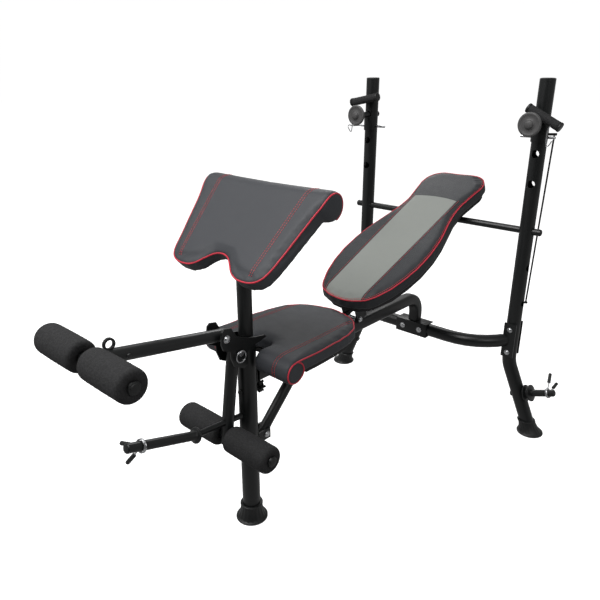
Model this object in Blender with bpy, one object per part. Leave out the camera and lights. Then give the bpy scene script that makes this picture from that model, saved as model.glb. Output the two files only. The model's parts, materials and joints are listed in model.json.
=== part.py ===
"""Adjustable weight bench: seat, inclined backrest, preacher pad, leg lever with foam rollers,
uprights with bar rests, and weight storage posts.

Sizes are in millimetres and are scaled to metres when a piece is made. The origin is on the floor
under the front post. +X is the user's left side, +Y runs from the front post to the uprights.
"""

import math

import bmesh
import bpy
from mathutils import Matrix, Vector

MM = 0.001
GAP = 0.3
SIDES = (-1, 1)
SIDE_NAMES = {-1: "right", 1: "left"}

# Front post and what is on it
POST_RADIUS = 25.0
POST_BORE = 20.3
POST_TOP = 555.0
FOOT_FLOOR = 4.0
KNOB_HEIGHT = 408.0
BUMPER_HEIGHT = 415.0
PLATE_THICKNESS = 4.0
PLATE_INNER = POST_RADIUS + GAP
PLATE_OUTER = PLATE_INNER + PLATE_THICKNESS

# Main frame
BEAM_HALF = 19.0
BEAM_CORNER = 9.0
BEAM_HEIGHT = 450.0
BEAM_WALL = 2.0
ARCH_RADIUS = 62.0
CROSS_RADIUS = 22.0
CROSS_Y = 828.0
CROSS_HEIGHT = 332.0
TUBE_WALL = 2.0
BRACE_RADIUS = 15.0
BRACE_LOW = (48.0, 260.0)
CLAMP_HALF = 63.0
CLAMP_WALL = 3.0
UPRIGHT_X = 315.5
UPRIGHT_Y = 948.0
UPRIGHT_RADIUS = 23.25
UPRIGHT_TOP = 1177.0
JOINT_HEIGHT = 338.0
JOINT_BOLTS = (375.0, 292.0)
LEG_BEND = 250.0
FOOT_X = 421.0
FOOT_Y = 959.0
FOOT_RADIUS = 44.0
REST_HEIGHT = 1052.0
REST_HOLES = (REST_HEIGHT, 961.0, 869.0)
INCLINE_HOLES = (717.0, 596.0, 471.0)
HOLE_RADIUS = 12.3

# Seat
SEAT_TOP = 540.0
SEAT_BOTTOM = 500.0
SEAT_ROLL = 35.0
SEAT_ROLL_CENTRE = (20.0, 505.0)
SEAT_HALF = 160.0
SEAT_NOTCH = (38.0, 64.0)
BOARD_THICKNESS = 11.0

# Backrest, in its own slope: s runs up the slope from the foot of the pad, n is normal to its face
BACK_ANGLE = math.radians(22.5)
BACK_FOOT = Vector((0, 393.0, 574.0))
BACK_PAD = 44.0
BACK_BOARD = 10.0
BACK_PIVOT = Vector((0, 451.0, 481.0))
BACK_HALF_WIDTHS = ((0, 88), (25, 108), (77, 131), (140, 147), (205, 155), (280, 154), (348, 145),
                    (415, 130), (480, 115), (546, 110), (600, 117), (655, 124), (692, 120), (720, 104))
BACK_ENDS = (-22, 746)
RAIL_X = 62.0
RAIL_WIDTH = 30.0
BAR_RADIUS = 11.0
BAR_HALF = 362.0

# Preacher pad, in its own slope: s runs down the face, n is normal to it
PREACHER_ANGLE = math.radians(45.0)
PREACHER_FACE = Vector((0, 0, 873.0))
PREACHER_PAD = 43.0
PREACHER_BOARD = 12.0
PREACHER_ROLL = 38.0
PREACHER_ROLL_S = -94.0
PREACHER_TOP_HALF = 212.0
PREACHER_EDGE = ((0, 195), (60, 183), (107, 172), (131, 163), (146, 149), (154, 124), (154, 84),
                 (141, 55), (119, 36), (105, 20), (101, 0))
SLIDER_RADIUS = 19.0
SLIDER_BOTTOM = 330.0

# Leg lever
PIVOT = Vector((0, -88.0, 596.0))
LEVER_RADIUS = 16.0
LEVER_CORNER = Vector((0, -38.5, 589.5))
LEVER_BEND = 44.0
UPPER_AXIS = Vector((0, -425.0, 656.0))
LOWER_AXIS = Vector((0, -78.0, 308.0))
LEVER_END = Vector((0, -80.5, 289.0))
ROLLER_TUBE = 11.0
ROLLER_RADIUS = 35.5
ROLLER_REACH = (17.0, 164.0)
LOCK_PIN = (-49.0, 547.0)
PIN_STROKE = 3.3
WEIGHT_ROD = 8.0
WEIGHT_POST = 12.0
WEIGHT_TAIL = Vector((0, -27.0, 345.0))
WEIGHT_KNEE = Vector((0, -177.0, 358.0))
WEIGHT_END = Vector((0, -366.0, 417.0))
WEIGHT_COLLAR = 158.0
COLLAR_SPREAD = math.radians(18.5)
COLLAR_DROP = math.radians(36)

# Storage posts on the legs
STORAGE_HEIGHT = 137.0
STORAGE_ANGLE = math.radians(20.6)
STORAGE_LENGTH = 127.0
STORAGE_COLLAR = 106.0
STORAGE_LEAN = math.radians(23)

# Bar rests, handles and cords
REST_PIN_HEIGHT = 1010.0
DISC_FRONT = 842.0
SADDLE_WALL = 3.3
HANDLE_LENGTH = 118.0
HANDLE_RADIUS = 13.5
HANDLES = {1: (336.0, 1070.0, 27.0), -1: (-318.0, 1104.0, 11.0)}
HANDLE_Y = UPRIGHT_Y - UPRIGHT_RADIUS - SADDLE_WALL - 2 * GAP - HANDLE_RADIUS - 2
CORD_RADIUS = 2.8
CORD_TOP = (352.0, 35.5, 1018.0)
CORD_FOOT = (341.0, 26.0, 468.0)

FINISHES = {
    "powder_coat": ((0.035, 0.037, 0.038), 0.42, 0.55),
    "vinyl": ((0.026, 0.027, 0.030), 0.5, 0.0),
    "foam": ((0.018, 0.018, 0.019), 0.9, 0.0),
    "plywood": ((0.46, 0.33, 0.19), 0.75, 0.0),
    "plastic": ((0.022, 0.023, 0.024), 0.5, 0.0),
    "grey_plastic": ((0.16, 0.16, 0.165), 0.5, 0.0),
    "zinc": ((0.72, 0.73, 0.75), 0.25, 1.0),
    "rubber": ((0.02, 0.02, 0.021), 0.8, 0.0),
}


def clear_scene():
    for obj in list(bpy.data.objects):
        bpy.data.objects.remove(obj)


def finish_of(name):
    """The named material, made the first time it is asked for."""
    material = bpy.data.materials.get(name)
    if material is None:
        material = bpy.data.materials.new(name)
        material.use_nodes = True
        colour, roughness, metallic = FINISHES[name]
        shader = material.node_tree.nodes["Principled BSDF"]
        shader.inputs["Base Color"].default_value = (*colour, 1)
        shader.inputs["Roughness"].default_value = roughness
        shader.inputs["Metallic"].default_value = metallic
    return material


def turn_outward(bm):
    bmesh.ops.recalc_face_normals(bm, faces=bm.faces)
    if bm.calc_volume(signed=True) < 0:
        bmesh.ops.reverse_faces(bm, faces=bm.faces)


def piece(name, bm, finish, pivot=(0, 0, 0)):
    """Makes the object of one sub-part, with its origin at pivot."""
    pivot = Vector(pivot)
    turn_outward(bm)
    bm.transform(Matrix.Scale(MM, 4) @ Matrix.Translation(-pivot))
    mesh = bpy.data.meshes.new(name)
    bm.to_mesh(mesh)
    bm.free()
    mesh.materials.append(finish_of(finish))
    mesh.shade_smooth()
    mesh.set_sharp_from_angle(angle=math.radians(35))
    obj = bpy.data.objects.new(name, mesh)
    obj.location = pivot * MM
    bpy.context.scene.collection.objects.link(obj)
    return obj


# Shapes

def placed(start, axis, up=(0, 0, 1)):
    """The matrix that turns +Z onto axis and moves the origin to start."""
    z = Vector(axis).normalized()
    x = Vector(up).cross(z)
    if x.length < 1e-3:
        x = Vector((1, 0, 0))
    x.normalize()
    turn = Matrix((x, z.cross(x), z)).transposed().to_4x4()
    return Matrix.Translation(Vector(start)) @ turn


def rod(start, end, radius, sides=16):
    start, end = Vector(start), Vector(end)
    bm = bmesh.new()
    bmesh.ops.create_cone(bm, cap_ends=True, segments=sides, radius1=radius, radius2=radius,
                          depth=(end - start).length, matrix=placed(start.lerp(end, 0.5), end - start))
    return bm


def box(low, high):
    low, high = Vector(low), Vector(high)
    bm = bmesh.new()
    bmesh.ops.create_cube(bm, size=1)
    bm.transform(Matrix.Translation((low + high) / 2) @ Matrix.Diagonal((high - low).to_4d()))
    return bm


def turned(profile, start, axis, sides=20):
    """A closed profile of (radius, distance along the axis) turned about the axis."""
    bm = bmesh.new()
    verts = [bm.verts.new((radius, 0, height)) for radius, height in profile]
    edges = [bm.edges.new((a, b)) for a, b in zip(verts, verts[1:] + verts[:1])
             if a.co.x > 1e-6 or b.co.x > 1e-6]
    bmesh.ops.spin(bm, geom=verts + edges, axis=(0, 0, 1), cent=(0, 0, 0), steps=sides,
                   angle=2 * math.pi, use_merge=True)
    bmesh.ops.remove_doubles(bm, verts=bm.verts, dist=1e-4)
    bmesh.ops.dissolve_degenerate(bm, edges=bm.edges, dist=1e-5)
    bm.transform(placed(start, axis))
    return bm


def prism(outline, low, high, matrix=None):
    """A flat outline of (x, y) points, extruded from low to high along Z."""
    bm = bmesh.new()
    face = bm.faces.new([bm.verts.new((x, y, low)) for x, y in outline])
    grown = bmesh.ops.extrude_face_region(bm, geom=[face])["geom"]
    verts = [item for item in grown if isinstance(item, bmesh.types.BMVert)]
    bmesh.ops.translate(bm, verts=verts, vec=(0, 0, high - low))
    if matrix is not None:
        bm.transform(matrix)
    return bm


def ring_of(bm, centre, across, upward, section):
    return [bm.verts.new(centre + across * x + upward * y) for x, y in section]


def swept(path, section, bore=None, across=(1, 0, 0)):
    """A section of (x, y) points carried along a path in one plane, whose normal is across."""
    across = Vector(across).normalized()
    bm = bmesh.new()
    skins = [[], []] if bore else [[]]
    for i, point in enumerate(path):
        before = (point - path[i - 1]).normalized() if i else None
        after = (path[i + 1] - point).normalized() if i + 1 < len(path) else None
        forward = ((before or after) + (after or before)).normalized()
        stretch = 1 / forward.dot(before or after)
        upward = forward.cross(across) * stretch
        for skin, shape in zip(skins, (section, bore)):
            skin.append(ring_of(bm, point, across, upward, shape))
    for skin in skins:
        for near, far in zip(skin, skin[1:]):
            for k in range(len(near)):
                bm.faces.new((near[k - 1], near[k], far[k], far[k - 1]))
    for end in (0, -1):
        if not bore:
            bm.faces.new(skins[0][end])
            continue
        outer, inner = skins[0][end], skins[1][end]
        for k in range(len(outer)):
            bm.faces.new((outer[k - 1], outer[k], inner[k], inner[k - 1]))
    return bm


def circle(radius, sides=16):
    turn = 2 * math.pi / sides
    return [(radius * math.cos(turn * k), radius * math.sin(turn * k)) for k in range(sides)]


def rounded_square(half, corner, steps=3):
    points = []
    for quarter in range(4):
        for step in range(steps + 1):
            angle = math.pi / 2 * (quarter + step / steps)
            sx = 1 if quarter in (0, 3) else -1
            sy = 1 if quarter in (0, 1) else -1
            points.append((sx * (half - corner) + corner * math.cos(angle),
                           sy * (half - corner) + corner * math.sin(angle)))
    return points


def filleted(points, radius, steps=6):
    """The points of a path, its inner corners rounded to the radius."""
    points = [Vector(p) for p in points]
    path = [points[0]]
    for before, corner, after in zip(points, points[1:], points[2:]):
        back, ahead = (before - corner).normalized(), (after - corner).normalized()
        half = back.angle(ahead) / 2
        middle = (back + ahead).normalized()
        centre = corner + middle * (radius / math.sin(half))
        start = corner + back * (radius / math.tan(half))
        end = corner + ahead * (radius / math.tan(half))
        arm, last = (start - centre).normalized(), (end - centre).normalized()
        for step in range(steps + 1):
            path.append(centre + arm.slerp(last, step / steps) * radius)
    path.append(points[-1])
    return path


def smooth_curve(points, spacing):
    """Points read at an even spacing from a Catmull-Rom curve through the given ones."""
    points = [Vector(p) for p in points]
    ends = [2 * points[0] - points[1], *points, 2 * points[-1] - points[-2]]
    fine = []
    for a, b, c, d in zip(ends, ends[1:], ends[2:], ends[3:]):
        for step in range(24):
            t = step / 24
            fine.append(0.5 * (2 * b + (c - a) * t + (2 * a - 5 * b + 4 * c - d) * t ** 2
                               + (3 * b - a - 3 * c + d) * t ** 3))
    fine.append(points[-1])
    lengths = [0.0]
    for a, b in zip(fine, fine[1:]):
        lengths.append(lengths[-1] + (b - a).length)
    count = max(2, round(lengths[-1] / spacing))
    read, k = [], 0
    for step in range(count + 1):
        target = lengths[-1] * step / count
        while k < len(fine) - 2 and lengths[k + 1] < target:
            k += 1
        share = (target - lengths[k]) / (lengths[k + 1] - lengths[k])
        read.append(fine[k].lerp(fine[k + 1], min(share, 1)))
    return read


def helper_object(bm):
    turn_outward(bm)
    mesh = bpy.data.meshes.new("helper")
    bm.to_mesh(mesh)
    bm.free()
    obj = bpy.data.objects.new("helper", mesh)
    obj.hide_render = True
    obj.display_type = "WIRE"
    bpy.context.scene.collection.objects.link(obj)
    return obj


def boolean(operation, base, tools):
    """The base mesh joined with, or cut by, the tools. The helpers it needs are removed again."""
    helpers = [helper_object(bm) for bm in (base, *tools)]
    for tool in helpers[1:]:
        modifier = helpers[0].modifiers.new("Boolean", "BOOLEAN")
        modifier.operation = operation
        modifier.object = tool
    bpy.context.view_layer.update()
    evaluated = helpers[0].evaluated_get(bpy.context.evaluated_depsgraph_get())
    result = bmesh.new()
    result.from_mesh(evaluated.data)
    for helper in helpers:
        mesh = helper.data
        bpy.data.objects.remove(helper)
        bpy.data.meshes.remove(mesh)
    bmesh.ops.remove_doubles(result, verts=result.verts, dist=1e-4)
    return result


def joined(base, *others):
    return boolean("UNION", base, others)


def cut(base, *tools):
    return boolean("DIFFERENCE", base, tools)


def beveled(bm, width, steps=2):
    """The mesh with the sharp edges of its outline rounded."""
    bmesh.ops.recalc_face_normals(bm, faces=bm.faces)
    edges = [e for e in bm.edges if len(e.link_faces) == 2 and e.calc_face_angle() > math.radians(60)]
    bmesh.ops.bevel(bm, geom=edges, offset=width, segments=steps, profile=0.5, affect="EDGES")
    return bm


def bolt(start, end, radius, head_radius=8.5, head=6.0):
    """A shank from start to end with a domed head before start and a nut after end."""
    length = (Vector(end) - Vector(start)).length
    profile = ((0, -head), (head_radius * 0.6, -head * 0.85), (head_radius, -head * 0.3),
               (head_radius, -GAP), (radius, -GAP), (radius, length + GAP),
               (head_radius * 0.9, length + GAP), (head_radius * 0.9, length + head),
               (radius, length + head), (radius, length + head + 3), (0, length + head + 3))
    return turned(profile, start, Vector(end) - Vector(start), 12)


# Slopes

def back_matrix():
    """Backrest coordinates: x across, y up the slope, z out of the face."""
    return Matrix.Translation(BACK_FOOT) @ Matrix.Rotation(BACK_ANGLE, 4, "X")


def preacher_matrix():
    """Preacher pad coordinates: x across, y down the face, z out of it."""
    down = Vector((0, -math.cos(PREACHER_ANGLE), -math.sin(PREACHER_ANGLE)))
    out = Vector((0, -math.sin(PREACHER_ANGLE), math.cos(PREACHER_ANGLE)))
    across = down.cross(out)
    turn = Matrix((across, down, out)).transposed().to_4x4()
    return Matrix.Translation(PREACHER_FACE) @ turn


# Frame

def make_front_post():
    tube = swept([Vector((0, 0, FOOT_FLOOR + GAP)), Vector((0, 0, POST_TOP))], circle(POST_RADIUS, 32),
                 circle(POST_BORE, 32))
    boss = turned(((5, 0), (9, 0), (9, 8), (5, 8)), (0, POST_RADIUS - 1.5, KNOB_HEIGHT), (0, 1, 0), 16)
    low, high = BRACE_LOW[1] - 16, BRACE_LOW[1] + 16
    ears = [box((min(s * 15.6, s * 19.6), 17.5, low), (max(s * 15.6, s * 19.6), BRACE_LOW[0] + 14, high))
            for s in SIDES]
    bolt_hole = rod((-30, BRACE_LOW[0], BRACE_LOW[1]), (30, BRACE_LOW[0], BRACE_LOW[1]), 5.3, 10)
    post = cut(joined(tube, boss, *ears), rod((0, 15, KNOB_HEIGHT), (0, 40, KNOB_HEIGHT), 5.0, 10),
               bolt_hole)
    piece("front_post", post, "powder_coat")
    cup = ((0, 0), (45, 0), (45, 5), (39, 12), (33, 26), (30, 48), (POST_RADIUS + GAP, 50),
           (POST_RADIUS + GAP, FOOT_FLOOR), (0, FOOT_FLOOR))
    piece("front_foot", turned(cup, (0, 0, 0), (0, 0, 1), 32), "plastic")
    nub = ((0, 0), (7, 0), (7, 3), (4, 6), (0, 6))
    piece("post_bumper", turned(nub, (0, -POST_RADIUS - GAP, BUMPER_HEIGHT), (0, -1, 0), 16), "rubber")


def make_post_knob():
    """A lobed knob whose stud passes through the post's rear wall and presses on the sliding post."""
    lobes, radius, depth = 6, 15.5, 17.0
    centre = POST_RADIUS + 7.5 + GAP
    outline = []
    for k in range(36):
        angle = 2 * math.pi * k / 36
        reach = radius + 3.2 * math.cos(lobes * angle)
        outline.append((reach * math.cos(angle), reach * math.sin(angle)))
    head = prism(outline, 0, depth, placed((0, centre, KNOB_HEIGHT), (0, 1, 0)))
    stud = rod((0, SLIDER_RADIUS + GAP, KNOB_HEIGHT), (0, centre + 4, KNOB_HEIGHT), 4.2, 16)
    piece("post_knob", joined(head, stud), "plastic", (0, centre, KNOB_HEIGHT))


def make_main_beam():
    corner = Vector((0, CROSS_Y, BEAM_HEIGHT))
    foot = Vector((0, CROSS_Y, CROSS_HEIGHT + CROSS_RADIUS + CLAMP_WALL + 2 * GAP + 0.7))
    path = filleted([(0, POST_RADIUS + 2, BEAM_HEIGHT), corner, foot], ARCH_RADIUS, 8)
    beam = swept(path, rounded_square(BEAM_HALF, BEAM_CORNER),
                 rounded_square(BEAM_HALF - BEAM_WALL, BEAM_CORNER - BEAM_WALL))
    notch = rod((0, 0, BEAM_HEIGHT - 40), (0, 0, BEAM_HEIGHT + 40), POST_RADIUS + GAP, 48)
    piece("main_beam", cut(beam, notch), "powder_coat")


def make_brace():
    low = Vector((0, *BRACE_LOW))
    high = low + Vector((0, 1, 1)) * (BEAM_HEIGHT - BRACE_LOW[1])
    tube = swept([low - Vector((0, 8, 8)), high], circle(BRACE_RADIUS), circle(BRACE_RADIUS - TUBE_WALL))
    beam_face = BEAM_HEIGHT - BEAM_HALF - GAP
    room = box((-30, 0, beam_face), (30, 400, beam_face + 60))
    bolt_hole = rod(low - Vector((30, 0, 0)), low + Vector((30, 0, 0)), 5.3, 10)
    piece("diagonal_brace", cut(tube, room, bolt_hole), "powder_coat")
    piece("brace_bolt", bolt(low + Vector((19.6, 0, 0)), low - Vector((19.6, 0, 0)), 5), "zinc")


def cross_beam_path():
    """The cross beam is straight in the middle and bows back to the leg joints at both ends."""
    half = [(130, 0), (165, 3), (200, 12), (232, 28), (260, 50), (284, 76), (300, 104)]
    right = [Vector((x, CROSS_Y + back, CROSS_HEIGHT)) for x, back in half]
    return [Vector((-p.x, p.y, p.z)) for p in reversed(right)] + right


def make_cross_beam():
    tube = swept(cross_beam_path(), circle(CROSS_RADIUS), circle(CROSS_RADIUS - TUBE_WALL), (0, 0, 1))
    front = UPRIGHT_Y - UPRIGHT_RADIUS - GAP
    behind = box((-400, front - 2, 200), (400, front + 60, 460))
    tube = cut(tube, behind)
    plates = []
    for side in SIDES:
        x = side * UPRIGHT_X
        plates.append(box((x - 21, front - PLATE_THICKNESS, 275), (x + 21, front, 398)))
    holes = [rod((side * UPRIGHT_X, front - 20, height), (side * UPRIGHT_X, front + 20, height), 5.3, 10)
             for side in SIDES for height in JOINT_BOLTS]
    piece("cross_beam", cut(joined(tube, *plates), *holes), "powder_coat")


def make_beam_clamp():
    """The channel that wraps the middle of the cross beam and carries the arch of the main beam."""
    inner = CROSS_RADIUS + GAP
    outer = inner + CLAMP_WALL
    body = box((-CLAMP_HALF, CROSS_Y - outer, CROSS_HEIGHT - outer),
               (CLAMP_HALF, CROSS_Y + outer, CROSS_HEIGHT + outer))
    room = box((-CLAMP_HALF - 5, CROSS_Y - inner, CROSS_HEIGHT - inner),
               (CLAMP_HALF + 5, CROSS_Y + outer + 5, CROSS_HEIGHT + inner))
    piece("beam_clamp", cut(beveled(body, 2.5), room), "powder_coat")


def joint_height_split():
    return JOINT_HEIGHT - GAP


def leg_direction(side):
    start = Vector((side * UPRIGHT_X, UPRIGHT_Y, LEG_BEND))
    return (Vector((side * FOOT_X, FOOT_Y, 3.0)) - start).normalized()


def leg_point(side, height):
    """The point of the splayed part of a leg's axis at a height."""
    start = Vector((side * UPRIGHT_X, UPRIGHT_Y, LEG_BEND))
    along = leg_direction(side)
    return start + along * ((height - LEG_BEND) / along.z)


def make_legs():
    for side in SIDES:
        name = SIDE_NAMES[side]
        corner = Vector((side * UPRIGHT_X, UPRIGHT_Y, LEG_BEND))
        end = leg_point(side, 15)
        top = corner + Vector((0, 0, joint_height_split() - LEG_BEND))
        across = (end - corner).cross(top - corner)
        leg = swept(filleted([top, corner, end], 120, 5), circle(UPRIGHT_RADIUS),
                    circle(UPRIGHT_RADIUS - TUBE_WALL), across)
        x, y = side * UPRIGHT_X, UPRIGHT_Y
        low = JOINT_BOLTS[1]
        socket = leg_point(side, STORAGE_HEIGHT)
        out = Vector((side * math.cos(STORAGE_ANGLE), 0, math.sin(STORAGE_ANGLE)))
        leg = cut(leg, rod((x, y - 40, low), (x, y + 40, low), 5.3, 10),
                  rod(socket - out * 45, socket + out * 45, 6.8, 10))
        piece(f"leg_{name}", leg, "powder_coat")
        make_rear_foot(side, name)


def make_rear_foot(side, name):
    """A flared cap on the splayed end of a leg."""
    rings = ((0, FOOT_RADIUS), (5, FOOT_RADIUS), (13, 37), (26, 32), (46, 28.5))
    bm = bmesh.new()
    loops = []
    for height, radius in rings:
        centre = leg_point(side, max(height, 3))
        centre.z = height
        loops.append([bm.verts.new(centre + Vector((x, y, 0))) for x, y in circle(radius, 32)])
    for near, far in zip(loops, loops[1:]):
        for k in range(32):
            bm.faces.new((near[k - 1], near[k], far[k], far[k - 1]))
    bm.faces.new(loops[0])
    bm.faces.new(loops[-1])
    along = leg_direction(side)
    socket = rod(leg_point(side, 13.5), leg_point(side, 13.5) - along * 90, UPRIGHT_RADIUS + GAP, 32)
    piece(f"rear_foot_{name}", cut(bm, socket), "plastic")


def make_uprights():
    for side in SIDES:
        name = SIDE_NAMES[side]
        x, y = side * UPRIGHT_X, UPRIGHT_Y
        tube = swept([Vector((x, y, JOINT_HEIGHT)), Vector((x, y, UPRIGHT_TOP))],
                     circle(UPRIGHT_RADIUS, 24), circle(UPRIGHT_RADIUS - TUBE_WALL, 24))
        cutters = [rod((x, y - 40, z), (x, y + 40, z), HOLE_RADIUS, 12) for z in REST_HOLES]
        cutters += [rod((x - 40, y, z), (x + 40, y, z), HOLE_RADIUS, 12) for z in INCLINE_HOLES]
        cutters.append(rod((x, y - 40, JOINT_BOLTS[0]), (x, y + 40, JOINT_BOLTS[0]), 5.3, 10))
        cutters.append(rod((x - 40, y, REST_PIN_HEIGHT), (x + 40, y, REST_PIN_HEIGHT), 4.5, 10))
        stubs = [rod((x + side * 15, y + 16.5, z), (side * reach, y + back, z), 4, 10)
                 for reach, back, z in (CORD_TOP, CORD_FOOT)]
        piece(f"upright_{name}", joined(cut(tube, *cutters), *stubs), "powder_coat")
        rear = y + UPRIGHT_RADIUS + GAP
        plate = box((x - 21, rear, 275), (x + 21, rear + PLATE_THICKNESS, 398))
        holes = [rod((x, rear - 10, z), (x, rear + 10, z), 5.3, 10) for z in JOINT_BOLTS]
        piece(f"joint_plate_{name}", cut(plate, *holes), "powder_coat")
        front = y - UPRIGHT_RADIUS - GAP - PLATE_THICKNESS
        for z, level in zip(JOINT_BOLTS, ("upper", "lower")):
            shank = bolt((x, front, z), (x, rear + PLATE_THICKNESS, z), 5)
            piece(f"joint_bolt_{name}_{level}", shank, "zinc")


# Pivot of the leg lever

def pivot_plate_outline():
    """Side view of a pivot plate, as (y, z) points: lobes for the pivot and the lock pin, and a tail."""
    corners = [(-93, 624), (-72, 620), (-60, 597), (-45, 587), (-17, 576), (7, 571), (37, 566), (46, 560),
               (20, 554), (-8, 548), (-22, 539), (-22, 503), (-36, 499), (-66, 514), (-76, 539), (-77, 558),
               (-99, 569), (-105, 586), (-101, 617)]
    return corners


def make_pivot():
    pin_y, pin_z = LOCK_PIN
    for side in SIDES:
        outline = pivot_plate_outline()
        low, high = sorted((side * PLATE_INNER, side * PLATE_OUTER))
        sideways = Matrix(((0, 0, 1, 0), (1, 0, 0, 0), (0, 1, 0, 0), (0, 0, 0, 1)))
        plate = prism(outline, low, high, sideways)
        holes = [rod((-50, PIVOT.y, PIVOT.z), (50, PIVOT.y, PIVOT.z), 5.3, 10)]
        if side > 0:
            holes.append(rod((-50, pin_y, pin_z), (50, pin_y, pin_z), 5.0, 10))
        piece(f"pivot_plate_{SIDE_NAMES[side]}", cut(plate, *holes), "powder_coat")
    reach = Vector((PLATE_OUTER + GAP, 0, 0))
    piece("pivot_bolt", bolt(PIVOT + reach, PIVOT - reach, 5, 9.5, 7), "zinc")
    make_lock_pin(pin_y, pin_z)


def make_lock_pin(pin_y, pin_z):
    """A short plunger with a pull ring, which clears the lever when it is drawn out."""
    tip, head = LEVER_RADIUS + 1.2, PLATE_OUTER + PIN_STROKE
    shank = rod((tip, pin_y, pin_z), (head + 2, pin_y, pin_z), 4.6, 16)
    boss = rod((head, pin_y, pin_z), (head + 6, pin_y, pin_z), 7, 16)
    ring_centre = Vector((head + 3, pin_y, pin_z - 9))
    bm = bmesh.new()
    rings = []
    for k in range(18):
        outward = Vector((0, math.cos(2 * math.pi * k / 18), math.sin(2 * math.pi * k / 18)))
        rings.append(ring_of(bm, ring_centre + outward * 15, Vector((1, 0, 0)), outward, circle(1.8, 6)))
    for near, far in zip(rings, rings[1:] + rings[:1]):
        for k in range(6):
            bm.faces.new((near[k - 1], near[k], far[k], far[k - 1]))
    piece("lock_pin", joined(shank, boss, bm), "zinc", (head, pin_y, pin_z))


# Leg lever

def make_lever():
    arm_end = UPPER_AXIS + (LEVER_CORNER - UPPER_AXIS).normalized() * 2
    path = filleted([arm_end, LEVER_CORNER, LEVER_END], LEVER_BEND, 8)
    tube = swept(path, circle(LEVER_RADIUS), circle(LEVER_RADIUS - TUBE_WALL))
    sleeve = rod(PIVOT - Vector((PLATE_INNER - 0.4, 0, 0)), PIVOT + Vector((PLATE_INNER - 0.4, 0, 0)), 10)
    arm = (LEVER_CORNER - UPPER_AXIS).normalized()
    eye_foot = UPPER_AXIS + arm * 51 + Vector((0, 0, LEVER_RADIUS))
    eye = turned(((9, -3), (14, -3), (14, 3), (9, 3)), eye_foot + Vector((0, 0, 11)), (1, 0, 0), 20)
    pin_y, pin_z = LOCK_PIN
    rod_line = (WEIGHT_KNEE - WEIGHT_TAIL).normalized()
    cutters = (
        rod(UPPER_AXIS - Vector((40, 0, 0)), UPPER_AXIS + Vector((40, 0, 0)), ROLLER_TUBE + GAP),
        rod(LOWER_AXIS - Vector((40, 0, 0)), LOWER_AXIS + Vector((40, 0, 0)), ROLLER_TUBE + GAP),
        rod(PIVOT - Vector((40, 0, 0)), PIVOT + Vector((40, 0, 0)), 5.3, 10),
        rod((-40, pin_y, pin_z), (40, pin_y, pin_z), 5.0, 10),
        rod(WEIGHT_TAIL - rod_line * 20, WEIGHT_TAIL + rod_line * 110, WEIGHT_ROD + GAP),
    )
    far_side = box((-20, UPPER_AXIS.y - 60, UPPER_AXIS.z - 40),
                   (20, UPPER_AXIS.y - 3, UPPER_AXIS.z + 40))
    lever = cut(joined(tube, sleeve, eye), *cutters, far_side)
    piece("lever_tube", lever, "powder_coat", PIVOT)


def make_rollers():
    inner, outer = ROLLER_REACH
    for level, axis in (("upper", UPPER_AXIS), ("lower", LOWER_AXIS)):
        end = outer + GAP
        profile = ((0, -end - 4), (13, -end - 4), (14, -end), (ROLLER_TUBE, -end), (ROLLER_TUBE, end),
                   (14, end), (13, end + 4), (0, end + 4))
        piece(f"{level}_roller_tube", turned(profile, axis, (1, 0, 0)), "powder_coat")
        for side in SIDES:
            bore, edge = ROLLER_TUBE + 0.5, 7
            foam = ((bore, inner), (ROLLER_RADIUS - edge, inner), (ROLLER_RADIUS - 2, inner + 2),
                    (ROLLER_RADIUS, inner + edge), (ROLLER_RADIUS, outer - edge),
                    (ROLLER_RADIUS - 2, outer - 2), (ROLLER_RADIUS - edge, outer), (bore, outer))
            centre = axis + Vector((side * (inner + outer) / 2, 0, 0))
            piece(f"{level}_roller_{SIDE_NAMES[side]}", turned(foam, axis, (side, 0, 0), 24), "foam", centre)


def collar(start, along, upward):
    """A spring collar: a coil round the post and two gripped arms that spread to either side of upward."""
    start, along, upward = Vector(start), Vector(along).normalized(), Vector(upward).normalized()
    sideways = along.cross(upward)
    coil = turned(((WEIGHT_POST + 0.5, -4.5), (16, -4.5), (17.3, 0), (16, 4.5), (WEIGHT_POST + 0.5, 4.5)),
                  start, along, 14)
    arms = []
    for side in SIDES:
        lean = upward * math.cos(COLLAR_SPREAD) + sideways * side * math.sin(COLLAR_SPREAD)
        root = start + along * side * 2
        arms.append(rod(root + lean * 15.5, root + lean * 40, 1.8, 6))
        arms.append(rod(root + lean * 39, root + lean * 75, 5.2, 10))
    return joined(coil, *arms)


def make_weight_post():
    """The lever's weight post: a thin rod through the lever, a flange, and a sleeve that tilts up."""
    sleeve_line = (WEIGHT_END - WEIGHT_KNEE).normalized()
    rod_line = (WEIGHT_KNEE - WEIGHT_TAIL).normalized()
    thin = rod(WEIGHT_TAIL, WEIGHT_KNEE + rod_line * 4, WEIGHT_ROD)
    length = (WEIGHT_END - WEIGHT_KNEE).length
    profile = ((0, -3), (20, -3), (21, 0), (20, 3), (WEIGHT_POST + 2, 5), (WEIGHT_POST, 9),
               (WEIGHT_POST, length - 2), (WEIGHT_POST - 2, length), (0, length))
    sleeve = turned(profile, WEIGHT_KNEE, sleeve_line, 20)
    piece("lever_weight_post", joined(thin, sleeve), "powder_coat", WEIGHT_KNEE)
    spot = WEIGHT_KNEE + sleeve_line * WEIGHT_COLLAR
    up = Vector((1, 0, 0)).cross(sleeve_line)
    if up.z < 0:
        up.negate()
    lean = Vector((-math.cos(COLLAR_DROP), 0, 0)) - up * math.sin(COLLAR_DROP)
    piece("lever_collar", collar(spot, sleeve_line, lean), "zinc", spot)


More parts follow.
